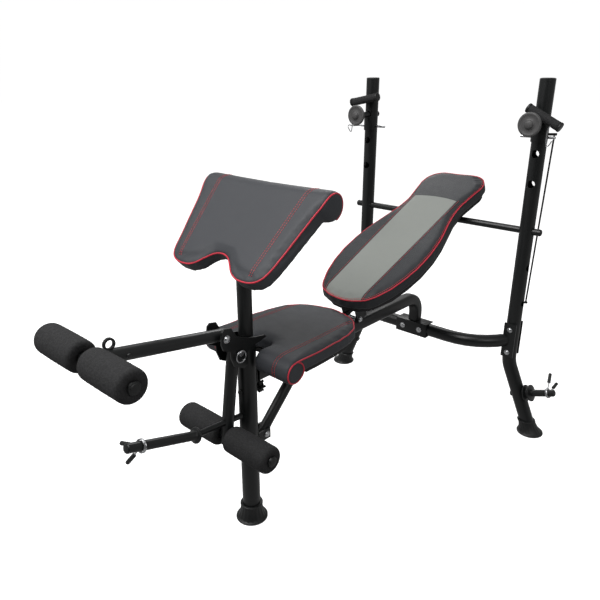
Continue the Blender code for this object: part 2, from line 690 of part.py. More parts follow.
def make_storage_posts():
    for side in SIDES:
        name = SIDE_NAMES[side]
        root = leg_point(side, STORAGE_HEIGHT)
        out = Vector((side * math.cos(STORAGE_ANGLE), 0, math.sin(STORAGE_ANGLE)))
        up = Vector((-side * math.sin(STORAGE_ANGLE), 0, math.cos(STORAGE_ANGLE)))
        spool = 26.0
        profile = ((0, -27), (9, -27), (9.5, -24.5), (6, -24.5), (6, spool - 3), (20, spool - 3), (26, spool),
                   (29, spool), (29, spool + 4), (18, spool + 7), (18, spool + 15), (29, spool + 18),
                   (29, spool + 22), (WEIGHT_POST, spool + 24), (WEIGHT_POST, STORAGE_LENGTH - 2),
                   (WEIGHT_POST - 2, STORAGE_LENGTH), (0, STORAGE_LENGTH))
        body = turned(profile, root, out, 18)
        clear = swept([leg_point(side, STORAGE_HEIGHT + 60), leg_point(side, STORAGE_HEIGHT - 60)],
                      circle(UPRIGHT_RADIUS + 3 * GAP), circle(UPRIGHT_RADIUS - TUBE_WALL - 2), (0, 1, 0))
        hole = rod(root - out * 60, root + out * 60, 6.5, 10)
        piece(f"storage_post_{name}", cut(body, cut(clear, hole)), "powder_coat")
        spot = root + out * STORAGE_COLLAR
        lean = Vector((0, math.cos(STORAGE_LEAN), 0)) + up * math.sin(STORAGE_LEAN)
        piece(f"storage_collar_{name}", collar(spot, out, lean), "zinc", spot)


# Seat

def seat_outline(inset=0.0):
    half = [(SEAT_HALF, SEAT_ROLL_CENTRE[0]), (SEAT_HALF + 1, 110), (158, 190), (151, 245), (138, 286),
            (106, 325), (78, 343), (46, 354), (16, 360)]
    right = [(x - inset * min(1, x / 60), y - (inset if y > 320 else 0)) for x, y in half]
    return right + [(-x, y) for x, y in reversed(right)]


def make_seat():
    slab = beveled(prism(seat_outline(), SEAT_BOTTOM, SEAT_TOP), 6)
    roll_y, roll_z = SEAT_ROLL_CENTRE
    roll = beveled(rod((-SEAT_HALF, roll_y, roll_z), (SEAT_HALF, roll_y, roll_z), SEAT_ROLL, 32), 3, 1)
    half, depth = SEAT_NOTCH
    notch = prism([(-half, -60), (half, -60), (half, depth - 14), (half - 14, depth), (14 - half, depth),
                   (-half, depth - 14)], 420, 600)
    piece("seat_cushion", cut(joined(slab, roll), notch), "vinyl")
    top = SEAT_BOTTOM - GAP
    board = cut(prism(seat_outline(14), top - BOARD_THICKNESS, top),
                box((-200, -60, 400), (200, roll_y + SEAT_ROLL + 12, 560)))
    piece("seat_board", board, "plywood")
    low, high = BEAM_HEIGHT + BEAM_HALF + GAP, top - BOARD_THICKNESS - GAP
    wall = 3.0
    channel = cut(box((-45, 96, low), (45, 330, high)),
                  box((-45 + wall, 90, low + wall), (45 - wall, 340, high + 9)))
    piece("seat_bracket", channel, "powder_coat")


# Backrest

def back_outline(inset=0.0):
    low, high = BACK_ENDS
    right = [(half - inset, s + (inset if s < 30 else 0) - (inset if s > 680 else 0))
             for s, half in BACK_HALF_WIDTHS]
    foot = [(44, low + 5 + inset), (0, low + inset)]
    crown = [(78, high - 8 - inset), (40, high - 1 - inset), (0, high - inset)]
    half = list(reversed(foot)) + right + crown
    return half + [(-x, s) for x, s in reversed(half) if x > 0]


def bar_level():
    """The height of the incline bar's top above the backrest's face, negative behind it."""
    bar = Vector((0, UPRIGHT_Y, INCLINE_HOLES[0])) - BACK_FOOT
    out = Vector((0, -math.sin(BACK_ANGLE), math.cos(BACK_ANGLE)))
    return bar.dot(out) + BAR_RADIUS


def make_backrest():
    place = back_matrix()
    cushion = beveled(prism(back_outline(), -BACK_PAD, 0), 9)
    cushion.transform(place)
    piece("backrest_cushion", cushion, "vinyl", BACK_PIVOT)
    board_top = -BACK_PAD - GAP
    board_bottom = board_top - BACK_BOARD
    piece("backrest_board", prism(back_outline(12), board_bottom, board_top, place), "plywood", BACK_PIVOT)
    top, bottom = board_bottom - GAP, bar_level() + GAP
    rails = [box((side * RAIL_X - RAIL_WIDTH / 2, 34, bottom), (side * RAIL_X + RAIL_WIDTH / 2, 640, top))
             for side in SIDES]
    ties = [box((-RAIL_X, s, bottom + 4), (RAIL_X, s + 36, top)) for s in (34, 470)]
    pivot = place.inverted() @ BACK_PIVOT
    ears = [box((min(side * 24, side * 28), pivot.y - 11, pivot.z - 10),
                (max(side * 24, side * 28), pivot.y + 34, top)) for side in SIDES]
    hole = rod((-40, pivot.y, pivot.z), (40, pivot.y, pivot.z), 5.3, 10)
    frame = cut(joined(rails[0], rails[1], *ties, *ears), hole)
    frame.transform(place)
    piece("backrest_frame", frame, "powder_coat", BACK_PIVOT)


def make_back_hinge():
    low = BEAM_HEIGHT + BEAM_HALF + GAP
    base = box((-23, BACK_PIVOT.y - 24, low), (23, BACK_PIVOT.y + 24, low + 3))
    ears = [box((min(side * 19, side * 23), BACK_PIVOT.y - 14, low),
                (max(side * 19, side * 23), BACK_PIVOT.y + 14, BACK_PIVOT.z + 11)) for side in SIDES]
    hole = rod(BACK_PIVOT - Vector((40, 0, 0)), BACK_PIVOT + Vector((40, 0, 0)), 5.3, 10)
    piece("hinge_bracket", cut(joined(base, *ears), hole), "powder_coat")
    reach = Vector((28 + GAP, 0, 0))
    piece("hinge_bolt", bolt(BACK_PIVOT + reach, BACK_PIVOT - reach, 5), "zinc")


def make_incline_bar():
    height = INCLINE_HOLES[0]
    profile = ((0, -BAR_HALF), (BAR_RADIUS - 2, -BAR_HALF), (BAR_RADIUS, -BAR_HALF + 2),
               (BAR_RADIUS, BAR_HALF - 2), (BAR_RADIUS - 2, BAR_HALF), (0, BAR_HALF))
    centre = (0, UPRIGHT_Y, height)
    piece("incline_bar", turned(profile, centre, (1, 0, 0)), "powder_coat", centre)


# Preacher pad

def make_preacher():
    place = preacher_matrix()
    right = [(PREACHER_TOP_HALF, PREACHER_ROLL_S)] + [(half, s) for s, half in PREACHER_EDGE]
    outline = right + [(-x, s) for x, s in reversed(right[:-1])]
    slab = beveled(prism(outline, -PREACHER_PAD, 0), 6)
    centre = (-PREACHER_TOP_HALF, PREACHER_ROLL_S, -PREACHER_ROLL)
    roll = beveled(rod(centre, (PREACHER_TOP_HALF, *centre[1:]), PREACHER_ROLL, 32), 3, 1)
    pad = joined(slab, roll)
    pad.transform(place)
    top = -PREACHER_PAD - GAP
    piece("preacher_pad", pad, "vinyl", PREACHER_FACE)
    board = [(-150, -46), (150, -46), (150, 62), (120, 92), (-120, 92), (-150, 62)]
    bottom = top - PREACHER_BOARD
    piece("preacher_board", prism(board, bottom, top, place), "plywood", PREACHER_FACE)
    plate_top = bottom - GAP
    plate = beveled(box((-55, -58, plate_top - 4), (55, 44, plate_top)), 1, 1)
    plate.transform(place)
    column = swept([Vector((0, 0, SLIDER_BOTTOM)), Vector((0, 0, 830))], circle(SLIDER_RADIUS, 28),
                   circle(SLIDER_RADIUS - TUBE_WALL, 28))
    above = prism([(-90, -120), (90, -120), (90, 120), (-90, 120)], plate_top - 2, 80, place)
    column = cut(column, above)
    piece("preacher_post", joined(column, plate), "powder_coat", (0, 0, SLIDER_BOTTOM))


# Making the bar rests, handles and cords

def make_bar_rests():
    for side in SIDES:
        name = SIDE_NAMES[side]
        x = side * UPRIGHT_X
        inner, outer = UPRIGHT_RADIUS + GAP, UPRIGHT_RADIUS + GAP + SADDLE_WALL
        saddle = swept([Vector((x, UPRIGHT_Y, 996)), Vector((x, UPRIGHT_Y, 1047))], circle(outer, 32),
                       circle(inner, 32))
        saddle = cut(saddle, box((x - 60, UPRIGHT_Y - 12, 900), (x + 60, UPRIGHT_Y + 60, 1200)))
        stem = rod((x, DISC_FRONT + 6, REST_HEIGHT), (x, UPRIGHT_Y + 36, REST_HEIGHT), 10)
        rest = joined(saddle, stem)
        piece(f"bar_rest_{name}", rest, "powder_coat", (x, UPRIGHT_Y, REST_HEIGHT))
        profile = ((0, 0), (9, 0), (12.5, 2), (13, 7), (33.5, 8.5), (35, 10.5), (35, 14.5), (33.5, 16.5),
                   (10 + GAP, 16.5), (10 + GAP, 5.5), (0, 5.5))
        disc = turned(profile, (x, DISC_FRONT, REST_HEIGHT), (0, 1, 0), 24)
        piece(f"keeper_disc_{name}", disc, "grey_plastic", (x, DISC_FRONT, REST_HEIGHT))
        make_rest_pin(side, name, x)


def make_rest_pin(side, name, x):
    """The pin that locks a bar rest to its upright, with its wire bail."""
    y, z = UPRIGHT_Y, REST_PIN_HEIGHT
    inner, outer = x - side * (UPRIGHT_RADIUS + 38), x + side * (UPRIGHT_RADIUS + 24)
    shank = rod((inner, y, z), (outer, y, z), 4, 12)
    bail = ((61, -60, 2), (52, -61, -16), (47.5, -61, -19), (44, -61, -12), (42, -61, 8), (43, -61, 30),
            (49, -61, 39))
    route = [(outer - side * 3, y, z), (outer + side * 3, y - 14, z), (outer + side * 10, y - 38, z)]
    route += [(x + side * out, y + back, z + up) for out, back, up in bail]
    wire = bmesh.new()
    path = smooth_curve(route, 10)
    rings = []
    for i, point in enumerate(path):
        forward = (path[min(i + 1, len(path) - 1)] - path[max(i - 1, 0)]).normalized()
        across = forward.cross(Vector((0, 1, 0))).normalized()
        rings.append(ring_of(wire, point, across, forward.cross(across), circle(1.6, 6)))
    for near, far in zip(rings, rings[1:]):
        for k in range(6):
            wire.faces.new((near[k - 1], near[k], far[k], far[k - 1]))
    wire.faces.new(rings[0])
    wire.faces.new(rings[-1])
    piece(f"rest_pin_{name}", joined(shank, wire), "zinc", (outer, y, z))




def handle_end(side):
    """The outer, lower end of a hung handle and the direction that it points in."""
    x, z, tilt = HANDLES[side]
    tilt = math.radians(tilt)
    along = Vector((side * math.cos(tilt), 0, -math.sin(tilt)))
    return Vector((x, HANDLE_Y, z)) + along * (HANDLE_LENGTH / 2), along


def make_handles():
    for side in SIDES:
        name = SIDE_NAMES[side]
        end, along = handle_end(side)
        grip, cap = HANDLE_RADIUS, HANDLE_RADIUS + 1
        length = HANDLE_LENGTH
        profile = ((0, 0), (cap - 2, 0), (cap, 2), (cap, 7), (grip, 8), (grip, length - 8),
                   (cap, length - 7), (cap, length - 2), (cap - 2, length), (0, length))
        piece(f"handle_{name}", turned(profile, end, -along, 18), "foam", end)


def cord_route(side):
    """Taut, from the underside of the upright's top stub to the upper side of its lower stub."""
    clear = 4 + GAP
    (top_x, top_back, top_z), (foot_x, foot_back, foot_z) = CORD_TOP, CORD_FOOT
    top = Vector((side * (top_x - 5), UPRIGHT_Y + top_back - 5, top_z - clear))
    foot = Vector((side * (foot_x - 4), UPRIGHT_Y + foot_back - 3, foot_z + clear))
    return [top.lerp(foot, step / 48) for step in range(49)]


def make_cords():
    for side in SIDES:
        curve = bpy.data.curves.new(f"cord_{SIDE_NAMES[side]}", "CURVE")
        curve.dimensions = "3D"
        curve.bevel_depth = CORD_RADIUS * MM
        curve.bevel_resolution = 2
        curve.use_fill_caps = True
        points = cord_route(side)
        spline = curve.splines.new("POLY")
        spline.points.add(len(points) - 1)
        for knot, point in zip(spline.points, points):
            knot.co = (*(point * MM), 1)
        curve.materials.append(finish_of("rubber"))
        obj = bpy.data.objects.new(curve.name, curve)
        bpy.context.scene.collection.objects.link(obj)


def main():
    clear_scene()
    make_front_post()
    make_post_knob()
    make_main_beam()
    make_brace()
    make_cross_beam()
    make_beam_clamp()
    make_legs()
    make_uprights()
    make_pivot()
    make_lever()
    make_rollers()
    make_weight_post()
    make_storage_posts()
    make_seat()
    make_backrest()
    make_back_hinge()
    make_incline_bar()
    make_preacher()
    make_bar_rests()
    make_handles()
    make_cords()


main()
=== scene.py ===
"""Looks of an adjustable weight bench: its stuffed pads with piping and stitching, foam rollers and
grips, powder-coated tubes, bolts, spring collars, feet, cords and stage. Metres, +Z up."""

import json
import math

import bmesh
import bpy
import numpy as np
from bpy.props import FloatProperty, FloatVectorProperty, PointerProperty
from bpy.types import Operator, Panel, PropertyGroup
from mathutils import Matrix, Vector
from mathutils.bvhtree import BVHTree


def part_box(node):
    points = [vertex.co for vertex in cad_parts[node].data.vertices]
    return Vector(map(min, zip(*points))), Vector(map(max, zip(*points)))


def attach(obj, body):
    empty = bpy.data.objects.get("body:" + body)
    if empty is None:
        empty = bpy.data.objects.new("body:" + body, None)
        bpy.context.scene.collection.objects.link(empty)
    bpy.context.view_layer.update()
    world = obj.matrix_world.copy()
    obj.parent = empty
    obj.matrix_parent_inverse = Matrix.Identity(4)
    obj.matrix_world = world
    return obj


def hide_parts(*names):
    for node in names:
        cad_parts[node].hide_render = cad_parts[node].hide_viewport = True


bl_info = {
    "name": "Weight bench looks",
    "version": (1, 0, 0),
    "blender": (4, 5, 0),
    "location": "3D View > Sidebar > Bench",
    "description": "Pads, foam, steel, fasteners and stage of a weight bench",
    "category": "Add Mesh",
}

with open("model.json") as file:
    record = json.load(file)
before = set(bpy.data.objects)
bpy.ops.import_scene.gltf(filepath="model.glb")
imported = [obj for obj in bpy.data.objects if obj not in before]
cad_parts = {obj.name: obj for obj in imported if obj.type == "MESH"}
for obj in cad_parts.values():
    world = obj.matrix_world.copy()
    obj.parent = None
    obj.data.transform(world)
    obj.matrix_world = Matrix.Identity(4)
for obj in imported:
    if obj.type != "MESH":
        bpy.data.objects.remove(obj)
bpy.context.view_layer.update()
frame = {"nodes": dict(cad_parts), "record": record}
NODES = frame["nodes"]
SIDES = {"left": 1, "right": -1}
X_AXIS, Y_AXIS, Z_AXIS = Vector((1, 0, 0)), Vector((0, 1, 0)), Vector((0, 0, 1))

# Backrest: its slope, the lower end of its face, and how far up its pale panel goes
BACK_ANGLE = math.radians(22.5)
BACK_FOOT = Vector((0, 0.393, 0.574))
PANEL_HEAD = 0.566
# Preacher pad: its slope, the top of its face over the post, and the roll along its upper edge
PREACHER_ANGLE = math.radians(45)
PREACHER_FACE = Vector((0, 0, 0.873))
PREACHER_ROLL = 0.038
PREACHER_ROLL_CENTRE = (-0.094, -0.038)
# Seat: the roll along its front edge, with its centre as (y, z), and half of the seat's width
SEAT_ROLL = 0.035
SEAT_ROLL_CENTRE = (0.020, 0.505)
SEAT_HALF = 0.160
# Stuffing: how far a cover is taken in before it is blown up, how hard it is blown, how far it may
# bulge, and the depth under its face from which the board holds it
PAD_SHRINK = 0.0022
PAD_PRESSURE = 3.5
PAD_BULGE = 0.0042
PAD_DEPTH = 0.037
CLOTH_STEPS = 20
# Frame: points of the left side, mirrored for the right one
UPRIGHT = Vector((0.3155, 0.948, 0))
UPRIGHT_TOP = 1.177
LEG_TOP = Vector((0.3155, 0.948, 0.250))
FOOT_CENTRE = Vector((0.421, 0.959, 0.003))
INCLINE_HEIGHT = 0.717
POST_RADIUS = 0.0252
POST_TOP = 0.555
BEAM_HALF = 0.0196
BEAM_HEIGHT = 0.450
CLAMP_BOLT = Vector((0.034, 0, 0.332))
# Storage posts and weight sleeve: their axes, and where the spring collars sit along them
STORAGE_ANGLE = math.radians(20.6)
STORAGE_LEAN = math.radians(23)
STORAGE_HEIGHT = 0.137
STORAGE_LENGTH = 0.127
STORAGE_COLLAR = 0.106
SLEEVE_RADIUS = 0.012
WEIGHT_KNEE = Vector((0, -0.177, 0.358))
WEIGHT_END = Vector((0, -0.366, 0.417))
WEIGHT_AXIS = (WEIGHT_END - WEIGHT_KNEE).normalized()
WEIGHT_COLLAR = 0.158
COLLAR_SPREAD = math.radians(18.5)
COLLAR_DROP = math.radians(36)
# Hung handles: x, z and tilt in degrees of each, and the cords, with their ends on the left side
HANDLES = {"left": (0.336, 1.070, 27.0), "right": (-0.318, 1.104, 11.0)}
HANDLE_Y = 0.90535
HANDLE_LENGTH = 0.118
HANDLE_RADIUS = 0.0135
HANDLE_CAP = 0.007
CORD_TOP = Vector((0.347, 0.9785, 1.0137))
CORD_FOOT = Vector((0.337, 0.971, 0.4723))
# Pins of the bar rests. The bail runs from the pin's outer end: outward, back and up from the axis
PIN_HEIGHT = 1.010
PIN_INNER = 0.06125
PIN_LENGTH = 0.1085
BAIL = ((0.04425, 0, 0), (0.05025, -0.014, 0), (0.05725, -0.038, 0), (0.061, -0.060, 0.002),
        (0.052, -0.061, -0.016), (0.0475, -0.061, -0.019), (0.044, -0.061, -0.012),
        (0.042, -0.061, 0.008), (0.043, -0.061, 0.030), (0.049, -0.061, 0.039))
# Lever: its lock pin and the stud that holds it
LOCK_TIP = Vector((0.0172, -0.049, 0.547))
LOCK_RING = Vector((0.0356, -0.049, 0.538))
LEVER_STUD = Vector((0.0158, -0.3420, 0.6415))
# Small sizes that several parts share
GAP = 0.0003
PIPING_DEPTH = 0.002
THREAD_RADIUS = 0.0009
BOLT_RADIUS = 0.005
FOAM_BORE = 0.0115
FOAM_ROUND = 0.010
WIRE_RADIUS = 0.0017
END_PLUG = [(0, 0.0022), (0.006, 0.0019), (0.0098, 0.0008), (0.0100, 0.0002), (0, 0.0002)]
# Stage
CARD_PLACE = Vector((2.3, -2.1, 1.3))
DOME_RADIUS = 30
CAMERA_PLACE = (1.02017, -0.91970, 1.18603)
CAMERA_TURN = (math.radians(69.12), 0, math.radians(42.20))
CAMERA_LENS = 35.33
LIGHTS = (("key", (-0.5, -1.3, 3.3), (0, 0.3, 0.5), 2.6, 1.0),
          ("fill", (2.6, -0.4, 2.2), (0, 0.4, 0.6), 1.2, 0.10),
          ("rim", (-1.6, 2.6, 2.4), (0, 0.5, 0.7), 1.2, 0.13))


def colour(name, description, default):
    return FloatVectorProperty(name=name, description=description, subtype="COLOR", size=3,
                               min=0, max=1, default=default)


def length(name, description, default):
    return FloatProperty(name=name, description=description, unit="LENGTH", min=0, default=default)


class BENCH_PG_pads(PropertyGroup):
    cover: colour("Cover", "Charcoal leatherette of the pads", (0.022, 0.0235, 0.027))
    panel: colour("Panel", "Pale panel down the middle of the backrest", (0.138, 0.146, 0.135))
    piping: colour("Piping", "Sewn edge of the pads", (0.34, 0.010, 0.025))
    thread: colour("Thread", "Decorative stitching", (0.30, 0.016, 0.022))
    piping_radius: length("Piping radius", "Half the thickness of the sewn edge", 0.0019)
    stitch: length("Stitch", "Length of one stitch and its gap", 0.0065)
    voxel: length("Voxel", "Size of the faces that the cloth is simulated with", 0.0050)


class BENCH_PG_parts(PropertyGroup):
    coat: colour("Powder coat", "Satin finish of the tubes", (0.0052, 0.0057, 0.0058))
    foam: colour("Foam", "Rollers and grips", (0.0145, 0.0145, 0.0150))
    plastic: colour("Plastic", "Feet, caps and knob", (0.0055, 0.0060, 0.0060))
    disc: colour("Discs", "Moulded keeper discs of the bar rests", (0.042, 0.041, 0.041))
    edge: length("Edge", "Rounding of sharp metal edges", 0.0006)


class BENCH_PG_stage(PropertyGroup):
    floor: colour("Floor", "Pale studio floor", (0.45, 0.45, 0.45))
    glow: FloatProperty(name="Glow", description="Light that the floor gives off", default=0.86, min=0)
    key: FloatProperty(name="Key light", description="Power of the large soft light", default=190, min=0)
    world: FloatProperty(name="Surround", description="Light from all round", default=0.45, min=0)


# Materials

class Wire:
    """A socket's value that can be reckoned with in Python expressions."""

    def __init__(self, net, socket):
        self.net, self.socket = net, socket

    def math(self, operation, *values):
        """A math node's result."""
        return self.net.add("Math", {"operation": operation}, dict(enumerate(values)))

    def __add__(self, other):
        return self.math("ADD", self, other)

    def __sub__(self, other):
        return self.math("SUBTRACT", self, other)

    def __rsub__(self, other):
        return self.math("SUBTRACT", other, self)

    def __mul__(self, other):
        return self.math("MULTIPLY", self, other)

    __radd__ = __add__
    __rmul__ = __mul__

    def size(self):
        """The value without its sign."""
        return self.math("ABSOLUTE", self)

    def between(self, low, high):
        """0 below low, 1 above high, and smooth between them."""
        return self.net.add("MapRange", {"interpolation_type": "SMOOTHSTEP"},
                            {"Value": self, "From Min": low, "From Max": high})


class Net:
    """The node tree of one material, with the constants of its shader."""

    def __init__(self, name, specular=0.5, metallic=0.0, glow=0.0):
        self.material = bpy.data.materials.new(name)
        self.material.use_nodes = True
        self.tree = self.material.node_tree
        self.shader = self.tree.nodes["Principled BSDF"]
        for socket, value in {"Specular IOR Level": specular, "Metallic": metallic,
                              "Emission Color": (1, 1, 1, 1), "Emission Strength": glow}.items():
            self.shader.inputs[socket].default_value = value
        self.place = self.add("TexCoord", output="Object")

    def feed(self, value, socket):
        """Links a Wire to a socket, or sets the socket's constant."""
        if isinstance(value, Wire):
            self.tree.links.new(value.socket, socket)
        else:
            socket.default_value = value

    def add(self, kind, settings=None, sockets=None, output=0):
        node = self.tree.nodes.new("ShaderNode" + kind)
        for name, value in (settings or {}).items():
            setattr(node, name, value)
        for name, value in (sockets or {}).items():
            self.feed(value, node.inputs[name])
        return Wire(self, node.outputs[output])

    def noise(self, scale, detail):
        return self.add("TexNoise", None, {"Vector": self.place, "Scale": scale, "Detail": detail})

    def cells(self, scale, feature="DISTANCE_TO_EDGE"):
        return self.add("TexVoronoi", {"feature": feature}, {"Vector": self.place, "Scale": scale})

    def mix(self, factor, first, second):
        def solid(value):
            return value if isinstance(value, Wire) else (*value, 1)
        return self.add("Mix", {"data_type": "RGBA"}, {0: factor, 6: solid(first), 7: solid(second)}, 2)

    def bump(self, height, strength, distance):
        self.feed(self.add("Bump", None, {"Height": height, "Strength": strength, "Distance": distance}),
                  self.shader.inputs["Normal"])

    def finish(self, base, roughness):
        self.feed(base if isinstance(base, Wire) else (*base, 1), self.shader.inputs["Base Color"])
        self.feed(roughness, self.shader.inputs["Roughness"])
        return self.material


def shade(value, factor):
    """A colour made lighter or darker."""
    return tuple(min(1.0, c * factor) for c in value)


def powder_coat(value):
    net = Net("powder_coat", specular=0.30)
    peel, cloud, rub = net.noise(1500, 1), net.noise(14, 3), net.noise(60, 4).between(0.60, 0.78)
    net.bump(peel + cloud * 0.6, 0.10, 0.0004)
    return net.finish(net.mix(cloud * 0.8 + rub * 0.25, shade(value, 0.82), shade(value, 1.3)),
                      0.27 + peel * 0.08 + cloud * 0.06 + rub * 0.05)


def leatherette(value):
    net = Net("leatherette", specular=0.27)
    pores, folds, cloud = net.cells(820), net.noise(45, 4), net.noise(7, 2)
    net.bump(pores.between(0, 0.35) * 0.6 + folds * 1.4, 0.22, 0.0006)
    return net.finish(net.mix(cloud * 0.7 + folds * 0.3, shade(value, 0.86), shade(value, 1.16)),
                      0.50 + folds * 0.12 + pores * 0.1)


def panel_half(along):
    """Half of the panel's width at a length up the backrest: a number or a Wire."""
    return 0.0675 + along * 0.036 - along * along * 0.018


def backrest_cover(cover, panel):
    """Charcoal leatherette with a pale panel, which widens a little towards the head, and painted shade in
    the groove round the panel.
    """
    net = Net("backrest_cover", specular=0.27)
    local = net.add("Mapping", {"vector_type": "TEXTURE"},
                    {"Vector": net.place, "Location": BACK_FOOT, "Rotation": (BACK_ANGLE, 0, 0)})
    split = net.add("SeparateXYZ", None, {"Vector": local}).socket.node.outputs
    across, along, out = (Wire(net, socket) for socket in split)
    side = panel_half(along) - across.size()
    head = PANEL_HEAD - across * across * 1.6 - along
    edge = side.math("MINIMUM", side, head)
    face = out.between(-0.012, -0.008)
    mask = edge.between(-0.0004, 0.0004) * face
    shaded_groove = (1 - edge.size().between(0.0004, 0.0026)) * face
    pores, folds, cloud = net.cells(820), net.noise(45, 4), net.noise(7, 2)
    weave = net.cells(1500, "F1")
    height = pores.between(0, 0.35) * 0.6 * (1 - mask) + weave * mask * 0.5 + folds * 1.3 - shaded_groove * 2.4
    net.bump(height, 0.24, 0.0006)
    dark = net.mix(cloud * 0.7 + folds * 0.3, shade(cover, 0.86), shade(cover, 1.16))
    pale = net.mix(cloud * 0.6 + weave * 0.4, shade(panel, 0.92), shade(panel, 1.06))
    # The groove round the panel is pressed in by the bump and is also painted darker: painted shade in the
    # seam.
    base = net.mix(shaded_groove * 0.7, net.mix(mask, dark, pale), shade(cover, 0.4))
    return net.finish(base, 0.50 + folds * 0.12 + mask * 0.1)


def foam(value):
    net = Net("foam", specular=0.2)
    pores, skin, cloud = net.cells(1300, "F1"), net.noise(420, 3), net.noise(22, 3)
    speckle = net.noise(270, 2).between(0.42, 0.62)
    net.bump(pores * 0.6 + skin + speckle * 0.8 + cloud * 2.0, 0.45, 0.0008)
    return net.finish(net.mix(cloud * 0.3 + speckle * 0.7, shade(value, 0.7), shade(value, 1.25)),
                      0.80 + pores * 0.15)


def zinc():
    net = Net("zinc", metallic=1.0)
    spangle, rub = net.cells(900, "F1"), net.noise(300, 3)
    net.bump(rub, 0.08, 0.0002)
    return net.finish(net.mix(spangle, (0.36, 0.365, 0.375), (0.52, 0.525, 0.535)),
                      0.20 + rub * 0.16)


def plastic(name, value, rough):
    net = Net(name, specular=0.3)
    grain, cloud = net.noise(1100, 2), net.noise(30, 2)
    net.bump(grain, 0.12, 0.0003)
    return net.finish(net.mix(cloud, shade(value, 0.85), shade(value, 1.2)), rough + grain * 0.14)


def sewn(name, value, scale):
    """Piping or thread: a fine cover with a twist in it."""
    net = Net(name, specular=0.35)
    twist, cloud = net.noise(scale, 2), net.noise(25, 2)
    net.bump(twist, 0.3, 0.0003)
    return net.finish(net.mix(cloud * 0.5 + twist * 0.5, shade(value, 0.75), shade(value, 1.3)),
                      0.40 + twist * 0.2)


def board_cloth():
    net = Net("board_cloth", specular=0.2)
    fibres, cloud = net.noise(700, 4), net.noise(12, 3)
    net.bump(fibres, 0.3, 0.0004)
    return net.finish(net.mix(cloud, (0.012, 0.012, 0.013), (0.024, 0.023, 0.023)), 0.85 + fibres * 0.1)


FINISHES = {}


def finishes():
    """Every material of the bench by name, made once."""
    if not FINISHES:
        pads, parts = bpy.context.scene.bench_pads, bpy.context.scene.bench_parts
        cover = tuple(pads.cover)
        FINISHES.update(
            coat=powder_coat(tuple(parts.coat)),
            cover=leatherette(cover),
            # The backrest's cover is the pads' cover painted 0.6 times as dark: painted shade, a shaded copy
            # of the same leatherette.
            back=backrest_cover(shade(cover, 0.6), tuple(pads.panel)),
            piping=sewn("piping", tuple(pads.piping), 900),
            thread=sewn("thread", tuple(pads.thread), 1600),
            foam=foam(tuple(parts.foam)),
            zinc=zinc(),
            plastic=plastic("black_plastic", tuple(parts.plastic), 0.40),
            disc=plastic("grey_plastic", tuple(parts.disc), 0.46),
            board=board_cloth(),
            rubber=plastic("black_rubber", (0.012, 0.012, 0.012), 0.6))
    return FINISHES


# Mesh helpers

def linked(name, data):
    """A new object in the scene with this mesh, curve, light or camera."""
    obj = bpy.data.objects.new(name, data)
    bpy.context.scene.collection.objects.link(obj)
    return obj


def mesh_object(name, bm):
    """A new object from a bmesh, which is used up."""
    mesh = bpy.data.meshes.new(name)
    bm.to_mesh(mesh)
    bm.free()
    return linked(name, mesh)


def turned_outward(bm):
    """The bmesh with doubles merged and all faces pointing outward."""
    bmesh.ops.remove_doubles(bm, verts=bm.verts, dist=1e-6)
    bmesh.ops.recalc_face_normals(bm, faces=bm.faces)
    if bm.calc_volume(signed=True) < 0:
        bmesh.ops.reverse_faces(bm, faces=bm.faces)
    return bm


def piece(name, bm, finish, body, stands_for=(), sharp=35):
    """A piece with a finish, given by name, that rides on a body and may stand for CAD nodes."""
    obj = mesh_object(name, turned_outward(bm))
    obj.data.materials.append(finishes()[finish])
    obj.data.shade_smooth()
    obj.data.set_sharp_from_angle(angle=math.radians(sharp))
    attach(obj, body)
    if stands_for:
        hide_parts(*stands_for)
    return obj


def placed(start, axis):
    """The matrix that turns +Z onto axis and moves the origin to start."""
    z = Vector(axis).normalized()
    x = Z_AXIS.cross(z)
    x = x.normalized() if x.length > 1e-3 else X_AXIS.copy()
    return Matrix.Translation(Vector(start)) @ Matrix((x, z.cross(x), z)).transposed().to_4x4()


def turned(profile, start, axis, steps, closed=False):
    """A profile of (radius, distance) spun about the axis."""
    bm = bmesh.new()
    verts = [bm.verts.new((radius, 0, height)) for radius, height in profile]
    pairs = list(zip(verts, verts[1:])) + ([(verts[-1], verts[0])] if closed else [])
    edges = [bm.edges.new(pair) for pair in pairs]
    bmesh.ops.spin(bm, geom=verts + edges, axis=(0, 0, 1), cent=(0, 0, 0), steps=steps,
                   angle=2 * math.pi, use_merge=True)
    bmesh.ops.remove_doubles(bm, verts=bm.verts, dist=1e-7)
    bm.transform(placed(start, axis))
    return bm


def evaluated_copy(obj):
    """The object's mesh with its modifiers, or its curve as a mesh."""
    bpy.context.view_layer.update()
    shown = obj.evaluated_get(bpy.context.evaluated_depsgraph_get())
    return bpy.data.meshes.new_from_object(shown)


def tube_curve(name, points, radius, closed, sides, smooth):
    """A curve of round section along points, smooth or straight between them."""
    curve = bpy.data.curves.new(name, "CURVE")
    curve.dimensions, curve.bevel_depth, curve.bevel_resolution = "3D", radius, sides
    curve.use_fill_caps, curve.resolution_u = True, 4
    spline = curve.splines.new("BEZIER" if smooth else "POLY")
    knots = spline.bezier_points if smooth else spline.points
    knots.add(len(points) - 1)
    for knot, point in zip(knots, points):
        if smooth:
            knot.co, knot.handle_left_type, knot.handle_right_type = point, "AUTO", "AUTO"
        else:
            knot.co = (*point, 1)
    spline.use_cyclic_u = closed
    return curve


def wire(points, radius, closed=False, sides=4, smooth=True):
    """A round wire along points, as a bmesh."""
    curve = tube_curve("wire", points, radius, closed, sides, smooth)
    obj = linked("wire", curve)
    mesh = evaluated_copy(obj)
    bm = bmesh.new()
    bm.from_mesh(mesh)
    bpy.data.objects.remove(obj)
    bpy.data.curves.remove(curve)
    bpy.data.meshes.remove(mesh)
    return bm


def merged(*parts):
    """Several meshes as one."""
    first = parts[0]
    for part in parts[1:]:
        mesh = bpy.data.meshes.new("part")
        part.to_mesh(mesh)
        part.free()
        first.from_mesh(mesh)
        bpy.data.meshes.remove(mesh)
    return first


